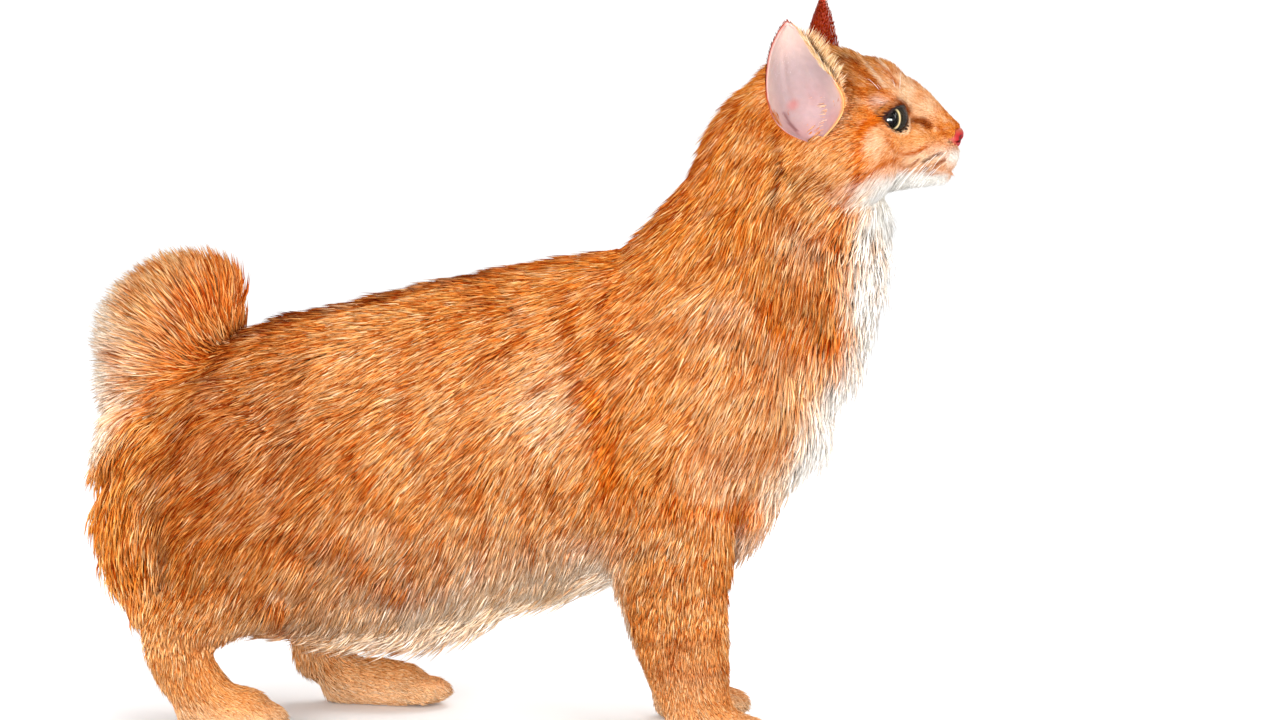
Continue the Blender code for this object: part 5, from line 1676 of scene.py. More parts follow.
    def build(self) -> Object:
        """The ear with its colours: pink in the cup, with painted shade deep in it, and rusty behind.

        Returns:
            The finished object, not yet riding.
        """
        ear = outwards(mesh_of(f"ear_{HANDS[self.side]}_shell", [turned(self.solid())]))
        points = moved(places(ear), HEAD_BACK)
        root, up, across, _ = self.axes()
        share, column = self.shares()
        high = (points - root) @ up
        aside = (points - root) @ across
        rim = np.abs(aside) / 20
        # The cup is darker low down and paler towards its tip and rims: partly the skin's own tone,
        # partly painted shade in the deep of the cup.
        colour = np.tile((0.35, 0.255, 0.255), (len(points), 1))
        blush = 0.5 + 0.5 * grain(points, 9, 8)
        tint(colour, (0.50, 0.22, 0.22), fade(26, 2, high) * 0.5 * blush)
        tint(colour, (0.62, 0.43, 0.37), fade(26, 50, high) * 0.7)
        tint(colour, (0.66, 0.47, 0.40), fade(0.55, 0.95, rim) * 0.5)
        flat = np.stack([aside, high], axis=1)
        # A dark line along the slit by the canal: painted shade in the fold.
        slit = along_curve(flat, ((11.8, 5.5), (10.6, 0.5), (8.0, -4.5)))
        tint(colour, (0.16, 0.05, 0.05), fade(1.2, 0.4, slit) * 0.8)
        canal = np.linalg.norm((flat - (6.0, 8.0)) / (1.3, 1.0), axis=1)
        tint(colour, (0.46, 0.12, 0.11), fade(4.2, 0.8, canal) * 0.55)
        tint(colour[: len(share)], (0.30, 0.022, 0.001), 1 - fade(0.10, 0.02, column))
        edge = np.tile(fade(0.10, 0.03, column) * fade(0.50, 0.42, share), 2)
        tint(colour, (0.80, 0.36, 0.13), edge)
        paint_attribute(ear, colour)
        return ear


def paint_attribute(obj: Object, colours: Points) -> None:
    """Stores a colour at each point of a mesh."""
    layer = obj.data.attributes.new(COLOUR, "FLOAT_COLOR", "POINT")
    layer.data.foreach_set("color", np.column_stack([colours, np.ones(len(colours))]).ravel())


@dataclass
class Nose:
    """The bare nose leather with its nostrils."""

    back: float = 228.8
    lean: float = 0.45
    voxel: float = 0.5
    bulbs: tuple[Bulb, ...] = (
        Bulb(231.8, 0, 331.2, 4.9, 6.6, 4.4),
        Bulb(229.8, 4.9, 329.0, 5.2, 3.8, 3.6),
        Bulb(229.8, -4.9, 329.0, 5.2, 3.8, 3.6),
        Bulb(230.9, 0, 327.6, 4.3, 2.6, 4.4),
    )

    def block(self, grow: float) -> Solid:
        """The bar that parts the leather from the skin: broad above, narrow at the lip."""
        outline = [(5.6 + grow, 335.0 + grow), (8.4 + grow, 329.6), (2.2 + grow, 324.2 - grow)]
        outline += [(-y, z) for y, z in reversed(outline)]
        rear = [(self.back - grow + (z - 330) * self.lean, y, z) for y, z in outline]
        ahead = [(250.0, y, z) for y, z in outline]
        return Solid(np.vstack([rear, ahead]), ring_faces(2, len(outline)))

    def build(self) -> Object:
        """The leather, modelled from rounded forms and pierced by two nostrils.

        Returns:
            The finished object, not yet riding.
        """
        forms = [turned(ellipsoid(b[:3], b[3:])) for b in self.bulbs]
        nose = remeshed(mesh_of("nose_leather", forms), self.voxel)
        softened(nose, 5)
        head = moved(places(nose), HEAD_BACK)
        slit = along_curve(head, ((237.5, 0, 333.0), (237.0, 0, 324.0)))
        push = -0.7 * np.exp(-((slit / 0.8) ** 2))
        set_places(nose, places(nose) + normals(nose) * push[:, None])
        for side in (1, -1):
            for centre, radii in (
                ((236.6, 4.3 * side, 329.6), (3.6, 2.1, 1.5)),
                ((234.6, 6.6 * side, 328.2), (3.2, 2.4, 0.8)),
            ):
                cut(nose, turned(ellipsoid(centre, radii, 3)))
        points = moved(places(nose), HEAD_BACK)
        colour = np.tile((0.34, 0.014, 0.018), (len(points), 1))
        colour *= 1 + 0.10 * grain(points, 2.5, 4)[:, None]
        tint(colour, (0.42, 0.12, 0.045), fade(331.5, 335.5, points[:, 2]) * 0.8)
        tint(colour, (0.44, 0.13, 0.09), fade(233.0, 230.0, points[:, 0]) * 0.7)
        # Near black round the nostrils: painted shade inside them.
        for side in (1, -1):
            near = np.linalg.norm(points - (235.2, 4.8 * side, 329.2), axis=1)
            tint(colour, (0.05, 0.006, 0.006), fade(3.0, 1.6, near))
        paint_attribute(nose, colour)
        return nose


@dataclass
class Eye:
    """One eye: the globe with its sunk iris, the clear cornea and the dark rim of the lids."""

    side: int
    limbus_radius: float = 8.6
    iris_height: float = 3.2
    iris_radius: float = 8.1
    pupil_radius: float = 4.0
    cornea_radius: float = 9.4

    def turn(self) -> Points:
        """The matrix from the eye's own frame to the modelling frame."""
        return HEAD_TURN @ eye_matrix(self.side)

    def spun(self, profile: Sequence[tuple[float, float]], sides: int = 64) -> Solid:
        """A form turned about the line of sight.

        Args:
            profile: Distances from the axis and heights along it, from one pole to the other.
            sides: The points round it.

        Returns:
            The closed form in the modelling frame.
        """
        angles = np.arange(sides) / sides * 2 * math.pi
        rings = []
        for radius, height in profile:
            radius = max(radius, 0.02)
            ring = [(radius * math.cos(a), radius * math.sin(a), height) for a in angles]
            rings.append(np.array(ring))
        return turned(Solid(np.vstack(rings), ring_faces(len(rings), sides)), self.turn())

    def globe(self) -> Object:
        """The white of the eye with the iris set in it and the dark pupil, with painted shade and light.
        """
        radius = EYE_RADIUS - 0.05
        edge = math.asin(self.limbus_radius / radius)
        low, iris, pupil = self.iris_height, self.iris_radius, self.pupil_radius
        profile = []
        for angle in np.linspace(math.pi, edge, 28):
            profile.append((radius * math.sin(angle), radius * math.cos(angle)))
        for share in np.linspace(0.0, 1.0, 12):
            profile.append((iris + (pupil - iris) * share, low + 0.35 * share))
        profile += [(pupil - 0.1, low - 0.4), (pupil * 0.6, low - 0.9), (0.0, low - 1.1)]
        eye = outwards(mesh_of(f"eye_{HANDS[self.side]}_globe", [self.spun(profile)]))
        local = moved(places(eye), np.linalg.inv(self.turn()))
        wide = np.hypot(local[:, 0], local[:, 1])
        front = local[:, 2] > 0
        angle = np.arctan2(-local[:, 1] * self.side, local[:, 0])
        # Near black round the iris: painted shade in the socket.
        colour = np.tile((0.020, 0.010, 0.008), (len(wide), 1))
        sunk = fade(iris + 0.25, iris + 0.1, wide) * front
        rays = 1 + 0.18 * np.sin(angle * 37) + 0.1 * np.sin(angle * 61 + 2)
        # Most of the iris is near black, as painted shade, and its pale arc by the pupil is laid on one
        # side only, as painted light falling through the cornea.
        lit = 0.06 + 0.94 * fade(0.0, 0.7, np.cos(angle + 0.3))
        iris_shade_and_light = np.tile((0.014, 0.010, 0.006), (len(wide), 1))
        tint(iris_shade_and_light, (0.86, 0.68, 0.34), fade(pupil + 1.0, pupil + 0.45, wide) * lit)
        tint(colour, iris_shade_and_light * rays[:, None], sunk)
        tint(colour, (0.02, 0.012, 0.01), np.exp(-(((wide - iris) / 0.5) ** 2)) * front)
        tint(colour, (0.002, 0.002, 0.002), fade(pupil + 0.15, pupil - 0.05, wide) * front)
        paint_attribute(eye, colour)
        return eye

    def cornea(self) -> Object:
        """The clear dome before the iris, with the film of tears on the globe round it."""
        shelf = math.sqrt(EYE_RADIUS**2 - self.limbus_radius**2)
        centre = shelf - math.sqrt(self.cornea_radius**2 - self.limbus_radius**2)
        limit = math.asin(self.limbus_radius / self.cornea_radius)
        profile = []
        for angle in np.linspace(0.0, limit, 18):
            wide = self.cornea_radius * math.sin(angle)
            profile.append((wide, centre + self.cornea_radius * math.cos(angle)))
        edge, far = math.asin(self.limbus_radius / EYE_RADIUS) + 0.02, math.radians(85)
        for radius, start, end in ((EYE_RADIUS + 0.12, edge, far), (EYE_RADIUS + 0.03, far, edge)):
            for angle in np.linspace(start, end, 10):
                profile.append((radius * math.sin(angle), radius * math.cos(angle)))
        profile.append((self.iris_radius + 0.2, self.iris_height - 0.2))
        profile += [(self.iris_radius, self.iris_height - 1.5), (0.0, self.iris_height - 1.6)]
        return outwards(mesh_of(f"eye_{HANDS[self.side]}_cornea", [self.spun(profile)]))

    def rim(self, name: str, grow: float, radius: float, lift: float) -> Object:
        """A soft tube round the open lids, on the globe.

        Args:
            name: The piece's name.
            grow: How far outside the lids' edge it runs.
            radius: Its own radius.
            lift: How far it stands off the globe.

        Returns:
            The tube.
        """
        count, sides = 72, 10
        outline = lid_outline(count, grow)
        ball = EYE_RADIUS + lift
        high = np.sqrt(np.maximum(ball**2 - (outline**2).sum(1), 1.0))
        line = np.column_stack([outline, high])
        ahead = np.roll(line, -1, axis=0) - np.roll(line, 1, axis=0)
        ahead /= np.linalg.norm(ahead, axis=1)[:, None]
        out = line / np.linalg.norm(line, axis=1)[:, None]
        side = np.cross(ahead, out)
        points = []
        for k in range(sides):
            a = k / sides * 2 * math.pi
            points.append(line + (side * math.cos(a) + out * math.sin(a) * 0.8) * radius)
        rings = np.stack(points, axis=1).reshape(-1, 3)
        faces = []
        for i in range(count):
            for k in range(sides):
                nxt, after = (i + 1) % count, (k + 1) % sides
                faces.append((i * sides + k, i * sides + after, nxt * sides + after, nxt * sides + k))
        tube = outwards(mesh_of(name, [turned(Solid(rings, faces), self.turn())]))
        local = moved(places(tube), np.linalg.inv(self.turn()))
        colour = np.tile((0.012, 0.006, 0.005), (len(local), 1))
        tint(colour, (0.34, 0.12, 0.11), fade(LID_LONG - 3.5, LID_LONG - 0.5, local[:, 0]))
        paint_attribute(tube, colour)
        return tube


@dataclass
class Whiskers:
    """The whiskers of the pads and the few of the brows."""

    length: tuple[float, float] = (22.0, 40.0)
    radius: float = 0.11
    sides: int = 5
    joints: int = 9

    def hair(self, root: Points, way: Points, length: float, droop: float) -> Solid:
        """One whisker, thin and curved.

        Args:
            root: Where it grows.
            way: The way it leaves the skin.
            length: Its length.
            droop: How far its tip falls.

        Returns:
            The closed form.
        """
        shares = np.linspace(0, 1, self.joints)
        line = root + np.outer(shares * length, way)
        line = line + np.outer(shares**2 * droop, (0.0, 0.0, -1.0))
        ahead = np.gradient(line, axis=0)
        rings = []
        for point, forward, share in zip(line, ahead, shares):
            forward = unit(forward)
            side = unit(np.cross(forward, (0.0, 0.0, 1.0)))
            up = np.cross(side, forward)
            radius = self.radius * (1 - share) ** 0.7 + 0.02
            angles = np.arange(self.sides) / self.sides * 2 * math.pi
            rings.append(point + radius * (np.outer(np.cos(angles), side) + np.outer(np.sin(angles), up)))
        return Solid(np.vstack(rings), ring_faces(self.joints, self.sides))

    def build(self, surface: BVHTree) -> Object:
        """Every whisker as one piece, rooted on the skin.

        Args:
            surface: The skin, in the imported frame's metres.

        Returns:
            The finished object, not yet riding.
        """
        draw = np.random.default_rng(SEED)
        hairs = []
        for side in (1, -1):
            for index, root in enumerate(whisker_roots()):
                at = root * (1, side, 1)
                back = index % 5
                way = unit((-0.35 - 0.06 * back, 0.95 * side, -0.12 - 0.05 * back))
                length = draw.uniform(*self.length)
                hairs.append(self.rooted(surface, at, way, length, length * 0.18))
            for k in range(4):
                at = np.array((201.0 - 3 * k, (12 + 3 * k) * side, 356.0))
                way = unit((0.05 - 0.2 * k, 0.55 * side, 0.9))
                hairs.append(self.rooted(surface, at, way, draw.uniform(12, 20), 3.0))
        piece = outwards(mesh_of("whiskers", hairs))
        paint_attribute(piece, np.tile(WHITE.value[1], (len(places(piece)), 1)))
        return piece

    def rooted(self, surface: BVHTree, at: Points, way: Points, length: float, droop: float) -> Solid:
        """A whisker whose root is moved onto the skin, given in the head's own frame."""
        start = moved(at[None], HEAD_TURN)[0]
        found = surface.find_nearest(Vector((start + (OFFSET_X, 0, 0)) * MM))[0]
        start = np.array(found) / MM - (OFFSET_X, 0, 0)
        forward = HEAD_TURN[:3, :3] @ way
        return self.hair(start - forward * 0.8, forward, length, droop)


# The coat.


class Tuft(Enum):
    """The shapes of tuft, from a short stiff one to a long soft one."""

    SPIKE = 1
    TUFT = 2
    LOCK = 3


TUFT_RINGS = {
    Tuft.SPIKE: ((0.30, 1.0, 0.04),),
    Tuft.TUFT: ((0.40, 1.0, 0.075),),
    Tuft.LOCK: ((0.30, 1.0, 0.07), (0.68, 0.9, 0.085)),
}
TUFT_THICKNESS = {Tuft.SPIKE: 0.06, Tuft.TUFT: 0.035, Tuft.LOCK: 0.022}
TUFT_ROLL = 0.35
TUFT_LENGTHS = (0.72, 1.2)
TUFT_WIDTHS = (0.65, 1.35)
HAIRS_ACROSS = 3.5
STRAND_SHIFTS = (211, 97)
COAT_LOWEST = 0.1
PATCH = 0.003
HOST_ENDING = "_host"
HOST_FIELDS = ("grow", "span", "breadth", "density", "root_colour", "tip_colour")


def tuft_object(kind: Tuft) -> Object:
    """A tuft of length one along X, closed, with its share of length stored at each point."""
    points, shares = [(0.0, 0.0, 0.0)], [(0.0, 0.5, 0.0)]
    for share, width, arch in TUFT_RINGS[kind]:
        thick = TUFT_THICKNESS[kind]
        for y, z in ((-0.5, 0.0), (0.5, 0.0), (0.0, 1.0)):
            points.append((share, y * width, arch + z * thick))
            shares.append((share, y * width + 0.5, 0.0))
    points.append((1.0, 0.0, 0.0))
    shares.append((1.0, 0.5, 0.0))
    rings = len(TUFT_RINGS[kind])
    faces = []
    for k in range(3):
        after = (k + 1) % 3
        faces.append((0, 1 + after, 1 + k))
        for low in range(1, 1 + (rings - 1) * 3, 3):
            faces.append((low + k, low + after, low + 3 + after))
            faces.append((low + k, low + 3 + after, low + 3 + k))
        last = 1 + (rings - 1) * 3
        faces.append((last + k, last + after, rings * 3 + 1))
    mesh = bpy.data.meshes.new(f"tuft_{kind.name.lower()}")
    mesh.from_pydata(points, [], faces)
    local = mesh.attributes.new("local", "FLOAT_VECTOR", "POINT")
    local.data.foreach_set("vector", np.array(shares, np.float32).ravel())
    mesh.shade_smooth()
    obj = bpy.data.objects.new(mesh.name, mesh)
    bpy.context.scene.collection.objects.link(obj)
    return outwards(obj)


class TreeMaker:
    """Lays and links the nodes of a Geometry Nodes tree."""

    def __init__(self, name: str, inputs: dict[str, str]) -> None:
        """Starts a tree with a mesh going in and out, and named inputs of the given kinds."""
        self.tree = bpy.data.node_groups.new(name, "GeometryNodeTree")
        self.identifiers: dict[str, str] = {}
        sockets = self.tree.interface
        for way in ("INPUT", "OUTPUT"):
            sockets.new_socket("Geometry", in_out=way, socket_type="NodeSocketGeometry")
        for key, kind in inputs.items():
            made = sockets.new_socket(key, in_out="INPUT", socket_type="NodeSocket" + kind)
            self.identifiers[key] = made.identifier

    def node(self, kind: str, inputs: Optional[dict] = None, **settings: object) -> Node:
        """Adds a node with its inputs and settings."""
        return add_node(self.tree, kind, inputs, **settings)

    def attribute(self, name: str, kind: str = "FLOAT") -> NodeSocket:
        """The socket of a named attribute."""
        made = self.node("GeometryNodeInputNamedAttribute", {"Name": name}, data_type=kind)
        return made.outputs["Attribute"]

    def vector(self, operation: str, first: object, second: object) -> NodeSocket:
        """The sum of two vectors, or a vector scaled."""
        other = "Scale" if operation == "SCALE" else 1
        made = self.node("ShaderNodeVectorMath", {0: first, other: second}, operation=operation)
        return made.outputs["Vector"]

    def product(self, first: object, second: object) -> NodeSocket:
        """The product of two numbers."""
        made = self.node("ShaderNodeMath", {0: first, 1: second}, operation="MULTIPLY")
        return made.outputs["Value"]

    def random(self, low: object, high: object, seed: int) -> NodeSocket:
        """A seeded random number or direction for each point."""
        kind = "FLOAT" if isinstance(low, float) else "FLOAT_VECTOR"
        made = self.node("FunctionNodeRandomValue", data_type=kind)
        for key, value in (("Min", low), ("Max", high), ("Seed", seed)):
            next(s for s in made.inputs if s.enabled and s.name == key).default_value = value
        return next(s for s in made.outputs if s.enabled)


def coat_tree() -> TreeMaker:
    """The tree that grows tufts on a skin, along the attributes that the skin carries."""
    kinds = {"Tuft": "Object", "Seed": "Int", "Sway": "Float", "Finish": "Material"}
    maker = TreeMaker("coat", kinds)
    given = maker.node("NodeGroupInput").outputs
    scatter = maker.node(
        "GeometryNodeDistributePointsOnFaces",
        {"Mesh": given["Geometry"], "Density": maker.attribute("density"), "Seed": given["Seed"]},
        distribute_method="RANDOM",
    ).outputs
    sway = maker.vector("SCALE", maker.random((-1, -1, -1), (1, 1, 1), 3), given["Sway"])
    roll = maker.vector("SCALE", maker.random((-1, -1, -1), (1, 1, 1), 4), TUFT_ROLL)
    turn = maker.node(
        "FunctionNodeAxesToRotation",
        {
            "Primary Axis": maker.vector("ADD", maker.attribute("grow", "FLOAT_VECTOR"), sway),
            "Secondary Axis": maker.vector("ADD", scatter["Normal"], roll),
        },
        primary_axis="X",
        secondary_axis="Z",
    )
    longer = maker.product(maker.attribute("span"), maker.random(*TUFT_LENGTHS, 5))
    wider = maker.product(maker.attribute("breadth"), maker.random(*TUFT_WIDTHS, 6))
    size = maker.node("ShaderNodeCombineXYZ", {"X": longer, "Y": wider, "Z": longer})
    model = maker.node(
        "GeometryNodeObjectInfo", {"Object": given["Tuft"]}, transform_space="ORIGINAL"
    )
    shade = maker.node(
        "GeometryNodeStoreNamedAttribute",
        {"Name": "shade", "Geometry": scatter["Points"], "Value": maker.random(0.0, 1.0, 7)},
        data_type="FLOAT",
        domain="POINT",
    )
    place = maker.node(
        "GeometryNodeInstanceOnPoints",
        {
            "Points": shade.outputs["Geometry"],
            "Instance": model.outputs["Geometry"],
            "Rotation": turn.outputs["Rotation"],
            "Scale": size.outputs["Vector"],
        },
    )
    real = maker.node("GeometryNodeRealizeInstances", {"Geometry": place.outputs["Instances"]})
    painted = {"Geometry": real.outputs["Geometry"], "Material": given["Finish"]}
    made = maker.node("GeometryNodeSetMaterial", painted)
    maker.node("NodeGroupOutput", {"Geometry": made.outputs["Geometry"]})
    return maker


class Region(NamedTuple):
    """One stretch of coat, made as a piece of its own."""

    name: str
    tuft: Tuft
    breadth: float
    density: float
    holds: Callable[[Points], Points]


def head_x(points: Points) -> Points:
    """How far forward each point is in the head's own frame, leaning with the face."""
    head = moved(points, HEAD_BACK)
    return head[:, 0] + 0.25 * (head[:, 2] - 330)


def beyond_neck(points: Points) -> Points:
    """How far each point is past the plane between neck and head."""
    return (points - HEAD_CUT_POINT) @ unit(HEAD_CUT_NORMAL)


def on_tail(points: Points) -> Points:
    """Which points are on the tail."""
    return tail_share(points) > 0.5


def on_face(points: Points) -> Points:
    """Which points are on the face."""
    return head_x(points) > 186


def on_feet(points: Points) -> Points:
    """Which points are on the lower legs and feet."""
    x, y, z = points.T
    return (z < np.where(x > 0, 66, 46)) & (np.abs(y) > 17)


def shaggy(points: Points) -> Points:
    """Which points carry the long coat of bib, belly and breeches."""
    x, y, z = points.T
    bib = (x > 118) & (np.abs(y) < 34) & (z < 300) & (z > 108)
    bib &= x > 190 - np.abs(z - 250) * 0.55 - np.abs(y) * 0.6
    belly = (z < 72 + (x + 60) * 0.16) & (x < 60)
    breeches = (x < -196) & (z < 178)
    return bib | belly | breeches


REGIONS = (
    Region("coat_tail", Tuft.LOCK, 1.0, 0.98, on_tail),
    Region("coat_face_right", Tuft.SPIKE, 0.50, 6.0, lambda p: on_face(p) & (p[:, 1] < 0)),
    Region("coat_face_left", Tuft.SPIKE, 0.55, 3.3, lambda p: on_face(p) & (p[:, 1] >= 0)),
    Region("coat_head", Tuft.TUFT, 0.72, 1.7, lambda p: beyond_neck(p) > 0),
    Region("coat_feet", Tuft.SPIKE, 0.75, 0.66, on_feet),
    Region("coat_fringe", Tuft.LOCK, 1.1, 0.32, shaggy),
    Region("coat_neck", Tuft.TUFT, 0.95, 0.80, lambda p: p[:, 2] > 268 - 0.25 * (p[:, 0] - 60)),
    Region("coat_shoulder_right", Tuft.TUFT, 1.0, 0.72, lambda p: (p[:, 0] > 0) & (p[:, 1] < 0)),
    Region("coat_shoulder_left", Tuft.TUFT, 1.1, 0.47, lambda p: (p[:, 0] > 0) & (p[:, 1] >= 0)),
    Region("coat_flank_right", Tuft.TUFT, 1.0, 0.72, lambda p: p[:, 1] < 0),
    Region("coat_flank_left", Tuft.TUFT, 1.1, 0.47, lambda p: p[:, 1] >= 0),
)


@dataclass
class Coat:
    """The whole coat, grown region by region on the skin."""

    skin: Object
    sway: float = 0.16
    low_share: float = 0.35
    high_share: float = 0.80

    def __post_init__(self) -> None:
        """Works out what the coat does at each point of the skin."""
        self.points = places(self.skin)
        self.outward = normals(self.skin)
        self.comb = comb(self.points, self.outward)
        lift = np.radians(self.comb.lift)[:, None]
        self.way = self.comb.lie * np.cos(lift) + self.outward * np.sin(lift)
        reach = self.way * self.comb.length[:, None]
        self.paint = markings(self.points + reach * self.low_share, self.outward)
        self.paint.tip = markings(self.points + reach * self.high_share, self.outward).tip
        self.bare = self.bare_share()

    def bare_share(self) -> Points:
        """Where the skin is bare: in the sockets, the ears' hollows, the mouth and the soles."""
        head = moved(self.points, HEAD_BACK)
        bare = np.zeros(len(head))
        for side in (1, -1):
            gap = np.linalg.norm(head - EYE_CENTRE * (1, side, 1), axis=1)
            ring, _, front = round_lids(head, side)
            bare = np.maximum(bare, fade(EYE_RADIUS + 0.5, EYE_RADIUS + 0.3, gap))
            bare = np.maximum(bare, fade(1.16, 1.10, ring) * front)
            ear = Ear.of(side)
            _, up, across, facing = ear.axes()
            local = (head - ear.hollow_centre()) @ np.stack([across, facing, up], axis=1)
            inside = np.linalg.norm(local / ear.hollow_radii, axis=1)
            bare = np.maximum(bare, fade(1.20, 1.10, inside))
        mouth = mouth_line()
        bare = np.maximum(bare, fade(1.0, 0.6, along_curve(head, mouth - mouth_outward(mouth) * 2.5)))
        on_head = fade(-6.0, 10.0, beyond_neck(self.points))
        u, v = VIEW.pixels(near_side(self.points, on_head)).T
        thin = ((u - EAR_PATCH.x) / EAR_PATCH.rx) ** 2 + ((v - EAR_PATCH.y) / EAR_PATCH.ry) ** 2
        bare = np.maximum(bare, fade(1.3, 0.7, thin + 0.3 * grain(self.points, 5, 6)) * 0.85)
        return np.maximum(bare, fade(1.2, 0.4, self.points[:, 2]))

    def colour_skin(self) -> None:
        """Gives the skin the coat's own markings, and pink where it is bare."""
        own = markings(self.points, self.outward)
        # The skin takes mostly the roots' colour, which is partly painted shade deep in the coat.
        colour = own.root * 0.75 + own.tip * 0.25
        tint(colour, PINK, self.bare)
        head = moved(self.points, HEAD_BACK)
        dark = fade(1.6, 0.8, along_curve(head, mouth_line()))
        for side in (1, -1):
            gap = np.linalg.norm(head - EYE_CENTRE * (1, side, 1), axis=1)
            ring, _, front = round_lids(head, side)
            dark = np.maximum(dark, fade(EYE_RADIUS + 0.7, EYE_RADIUS + 0.4, gap))
            dark = np.maximum(dark, fade(1.24, 1.12, ring) * front)
        tint(colour, (0.035, 0.012, 0.009), dark)
        paint_attribute(self.skin, colour)

    def host(self, region: Region, members: Points) -> Object:
        """The part of the skin that one region of coat grows on.

        Args:
            region: The region.
            members: The skin's faces in it.

        Returns:
            A mesh with the coat's attributes and an unwrap of its own.
        """
        mesh = self.skin.data
        corners = [list(mesh.polygons[i].vertices) for i in members]
        used, inverse = np.unique(np.concatenate(corners), return_inverse=True)
        faces, start = [], 0
        for corner in corners:
            faces.append(inverse[start : start + len(corner)].tolist())
            start += len(corner)
        growth = Growth(
            self.way[used],
            self.comb.length[used],
            np.full(len(used), region.breadth),
            region.density * (1 - self.bare[used]),
            self.paint.root[used],
            self.paint.tip[used],
        )
        return planted(region.name, Solid(self.points[used], faces), growth)

    def grow(self, finish: Material) -> list[Object]:
        """Grows every region.

        Args:
            finish: The coat's material.

        Returns:
            The pieces, not yet riding.
        """
        mesh = self.skin.data
        centres = np.empty(len(mesh.polygons) * 3)
        mesh.polygons.foreach_get("center", centres)
        centres = centres.reshape(-1, 3) / MM - (OFFSET_X, 0, 0)
        free = np.ones(len(centres), bool)
        maker = coat_tree()
        tufts = {kind: tuft_object(kind) for kind in Tuft}
        pieces = []
        for index, region in enumerate(REGIONS):
            members = np.flatnonzero(free & region.holds(centres))
            free[members] = False
            host = self.host(region, members)
            pieces.append(grown(host, maker, tufts[region.tuft], index, self.sway, finish))
        for index, (side, hand) in enumerate(HANDS.items(), len(REGIONS)):
            host = Ear.of(side).coat_host(f"coat_ear_{hand}")
            pieces.append(grown(host, maker, tufts[Tuft.TUFT], index, self.sway, finish))
        for tuft in tufts.values():
            bpy.data.objects.remove(tuft, do_unlink=True)
        return pieces


def planted(name: str, solid: Solid, growth: Growth) -> Object:
    """A host mesh that carries what grows on it, with an unwrap of its own shape.

    Args:
        name: The name of the coat that will grow there.
        solid: Its points and faces.
        growth: What grows at each point.

    Returns:
        The host.
    """
    host = mesh_of(name + HOST_ENDING, [solid])
    full = np.ones(len(solid.points))
    values = (
        ("FLOAT_VECTOR", "vector", growth.grow),
        ("FLOAT", "value", growth.span * MM),
        ("FLOAT", "value", growth.breadth * MM),
        ("FLOAT", "value", growth.density / MM**2),
        ("FLOAT_COLOR", "color", np.column_stack([growth.root, full])),
        ("FLOAT_COLOR", "color", np.column_stack([growth.tip, full])),
    )
    for attribute, (kind, field, array) in zip(HOST_FIELDS, values):
        layer = host.data.attributes.new(attribute, kind, "POINT")
        layer.data.foreach_set(field, np.asarray(array, np.float32).ravel())
    unwrap(host)
    return host


def unwrap(host: Object) -> None:
    """Unwraps a mesh's own shape into a map named unwrap."""
    host.data.uv_layers.new(name="unwrap")
    bpy.context.view_layer.objects.active = host
    for obj in bpy.context.selected_objects:
        obj.select_set(False)
    host.select_set(True)
    bpy.ops.object.mode_set(mode="EDIT")
    bpy.ops.mesh.select_all(action="SELECT")
    bpy.ops.uv.smart_project(angle_limit=math.radians(66), island_margin=0.004)
    bpy.ops.object.mode_set(mode="OBJECT")


def grown(
    host: Object,
    maker: TreeMaker,
    tuft: Object,
    index: int,
    sway: float,
    finish: Material,
) -> Object:
    """Grows tufts on a host mesh and keeps only them, as one plain mesh.

    Args:
        host: The stretch of skin, named for its coat, with the coat's attributes.
        maker: The tree that grows it.
        tuft: The tuft's model.
        index: The region's number, for its seed.
        sway: How far tufts stray from the lie.
        finish: The coat's material.

    Returns:
        The coat of the region.
    """
    host.name = host.name.removesuffix(HOST_ENDING)
    modifier = host.modifiers.new("Coat", "NODES")
    modifier.node_group = maker.tree
    inputs = {"Tuft": tuft, "Seed": SEED * 100 + index, "Sway": sway, "Finish": finish}
    for key, value in inputs.items():
        modifier[maker.identifiers[key]] = value
    baked(host)
    mesh = host.data
    local = read_attribute(mesh, "local", "vector", 3)
    root = read_attribute(mesh, "root_colour", "color", 4)[:, :3]
    tip = read_attribute(mesh, "tip_colour", "color", 4)[:, :3]
    shade = read_attribute(mesh, "shade", "value", 1)[:, 0]
    span = read_attribute(mesh, "span", "value", 1)[:, 0] / MM
    colour = tuft_colours(root, tip, local[:, 0], shade, span)
    at = read_unwrap(mesh)
    for layer in list(mesh.uv_layers):
        mesh.uv_layers.remove(layer)
    for spare in ("local", "shade", "unwrap", *HOST_FIELDS):
        if spare in mesh.attributes:
            mesh.attributes.remove(mesh.attributes[spare])
    paint_attribute(host, colour)
    across = local[:, 1] * HAIRS_ACROSS + shade * STRAND_SHIFTS[0]
    along = local[:, 0] * (0.6 + span / 9) + shade * STRAND_SHIFTS[1]
    layer = mesh.attributes.new(STRAND, "FLOAT_VECTOR", "POINT")
    strand = np.stack([across, along, shade], axis=1)
    layer.data.foreach_set("vector", strand.astype(np.float32).ravel())
    above = places(host)
    above[:, 2] = np.maximum(above[:, 2], COAT_LOWEST)
    set_places(host, above)
    layer = mesh.uv_layers.new(name="OFBake")
    patch = np.clip(at + (local[:, :2] - 0.5) * PATCH, 0, 1)[corners_of(mesh)]
    layer.data.foreach_set("uv", patch.astype(np.float32).ravel())
    return host


def corners_of(mesh: Mesh) -> Points:
    """The point at each corner of a mesh's faces."""
    corners = np.empty(len(mesh.loops), np.int32)
    mesh.loops.foreach_get("vertex_index", corners)
    return corners


def read_attribute(mesh: Mesh, name: str, field: str, width: int) -> Points:
    """The values of a point attribute as rows."""
    out = np.empty(len(mesh.vertices) * width, np.float32)
    mesh.attributes[name].data.foreach_get(field, out)
    return out.reshape(-1, width)


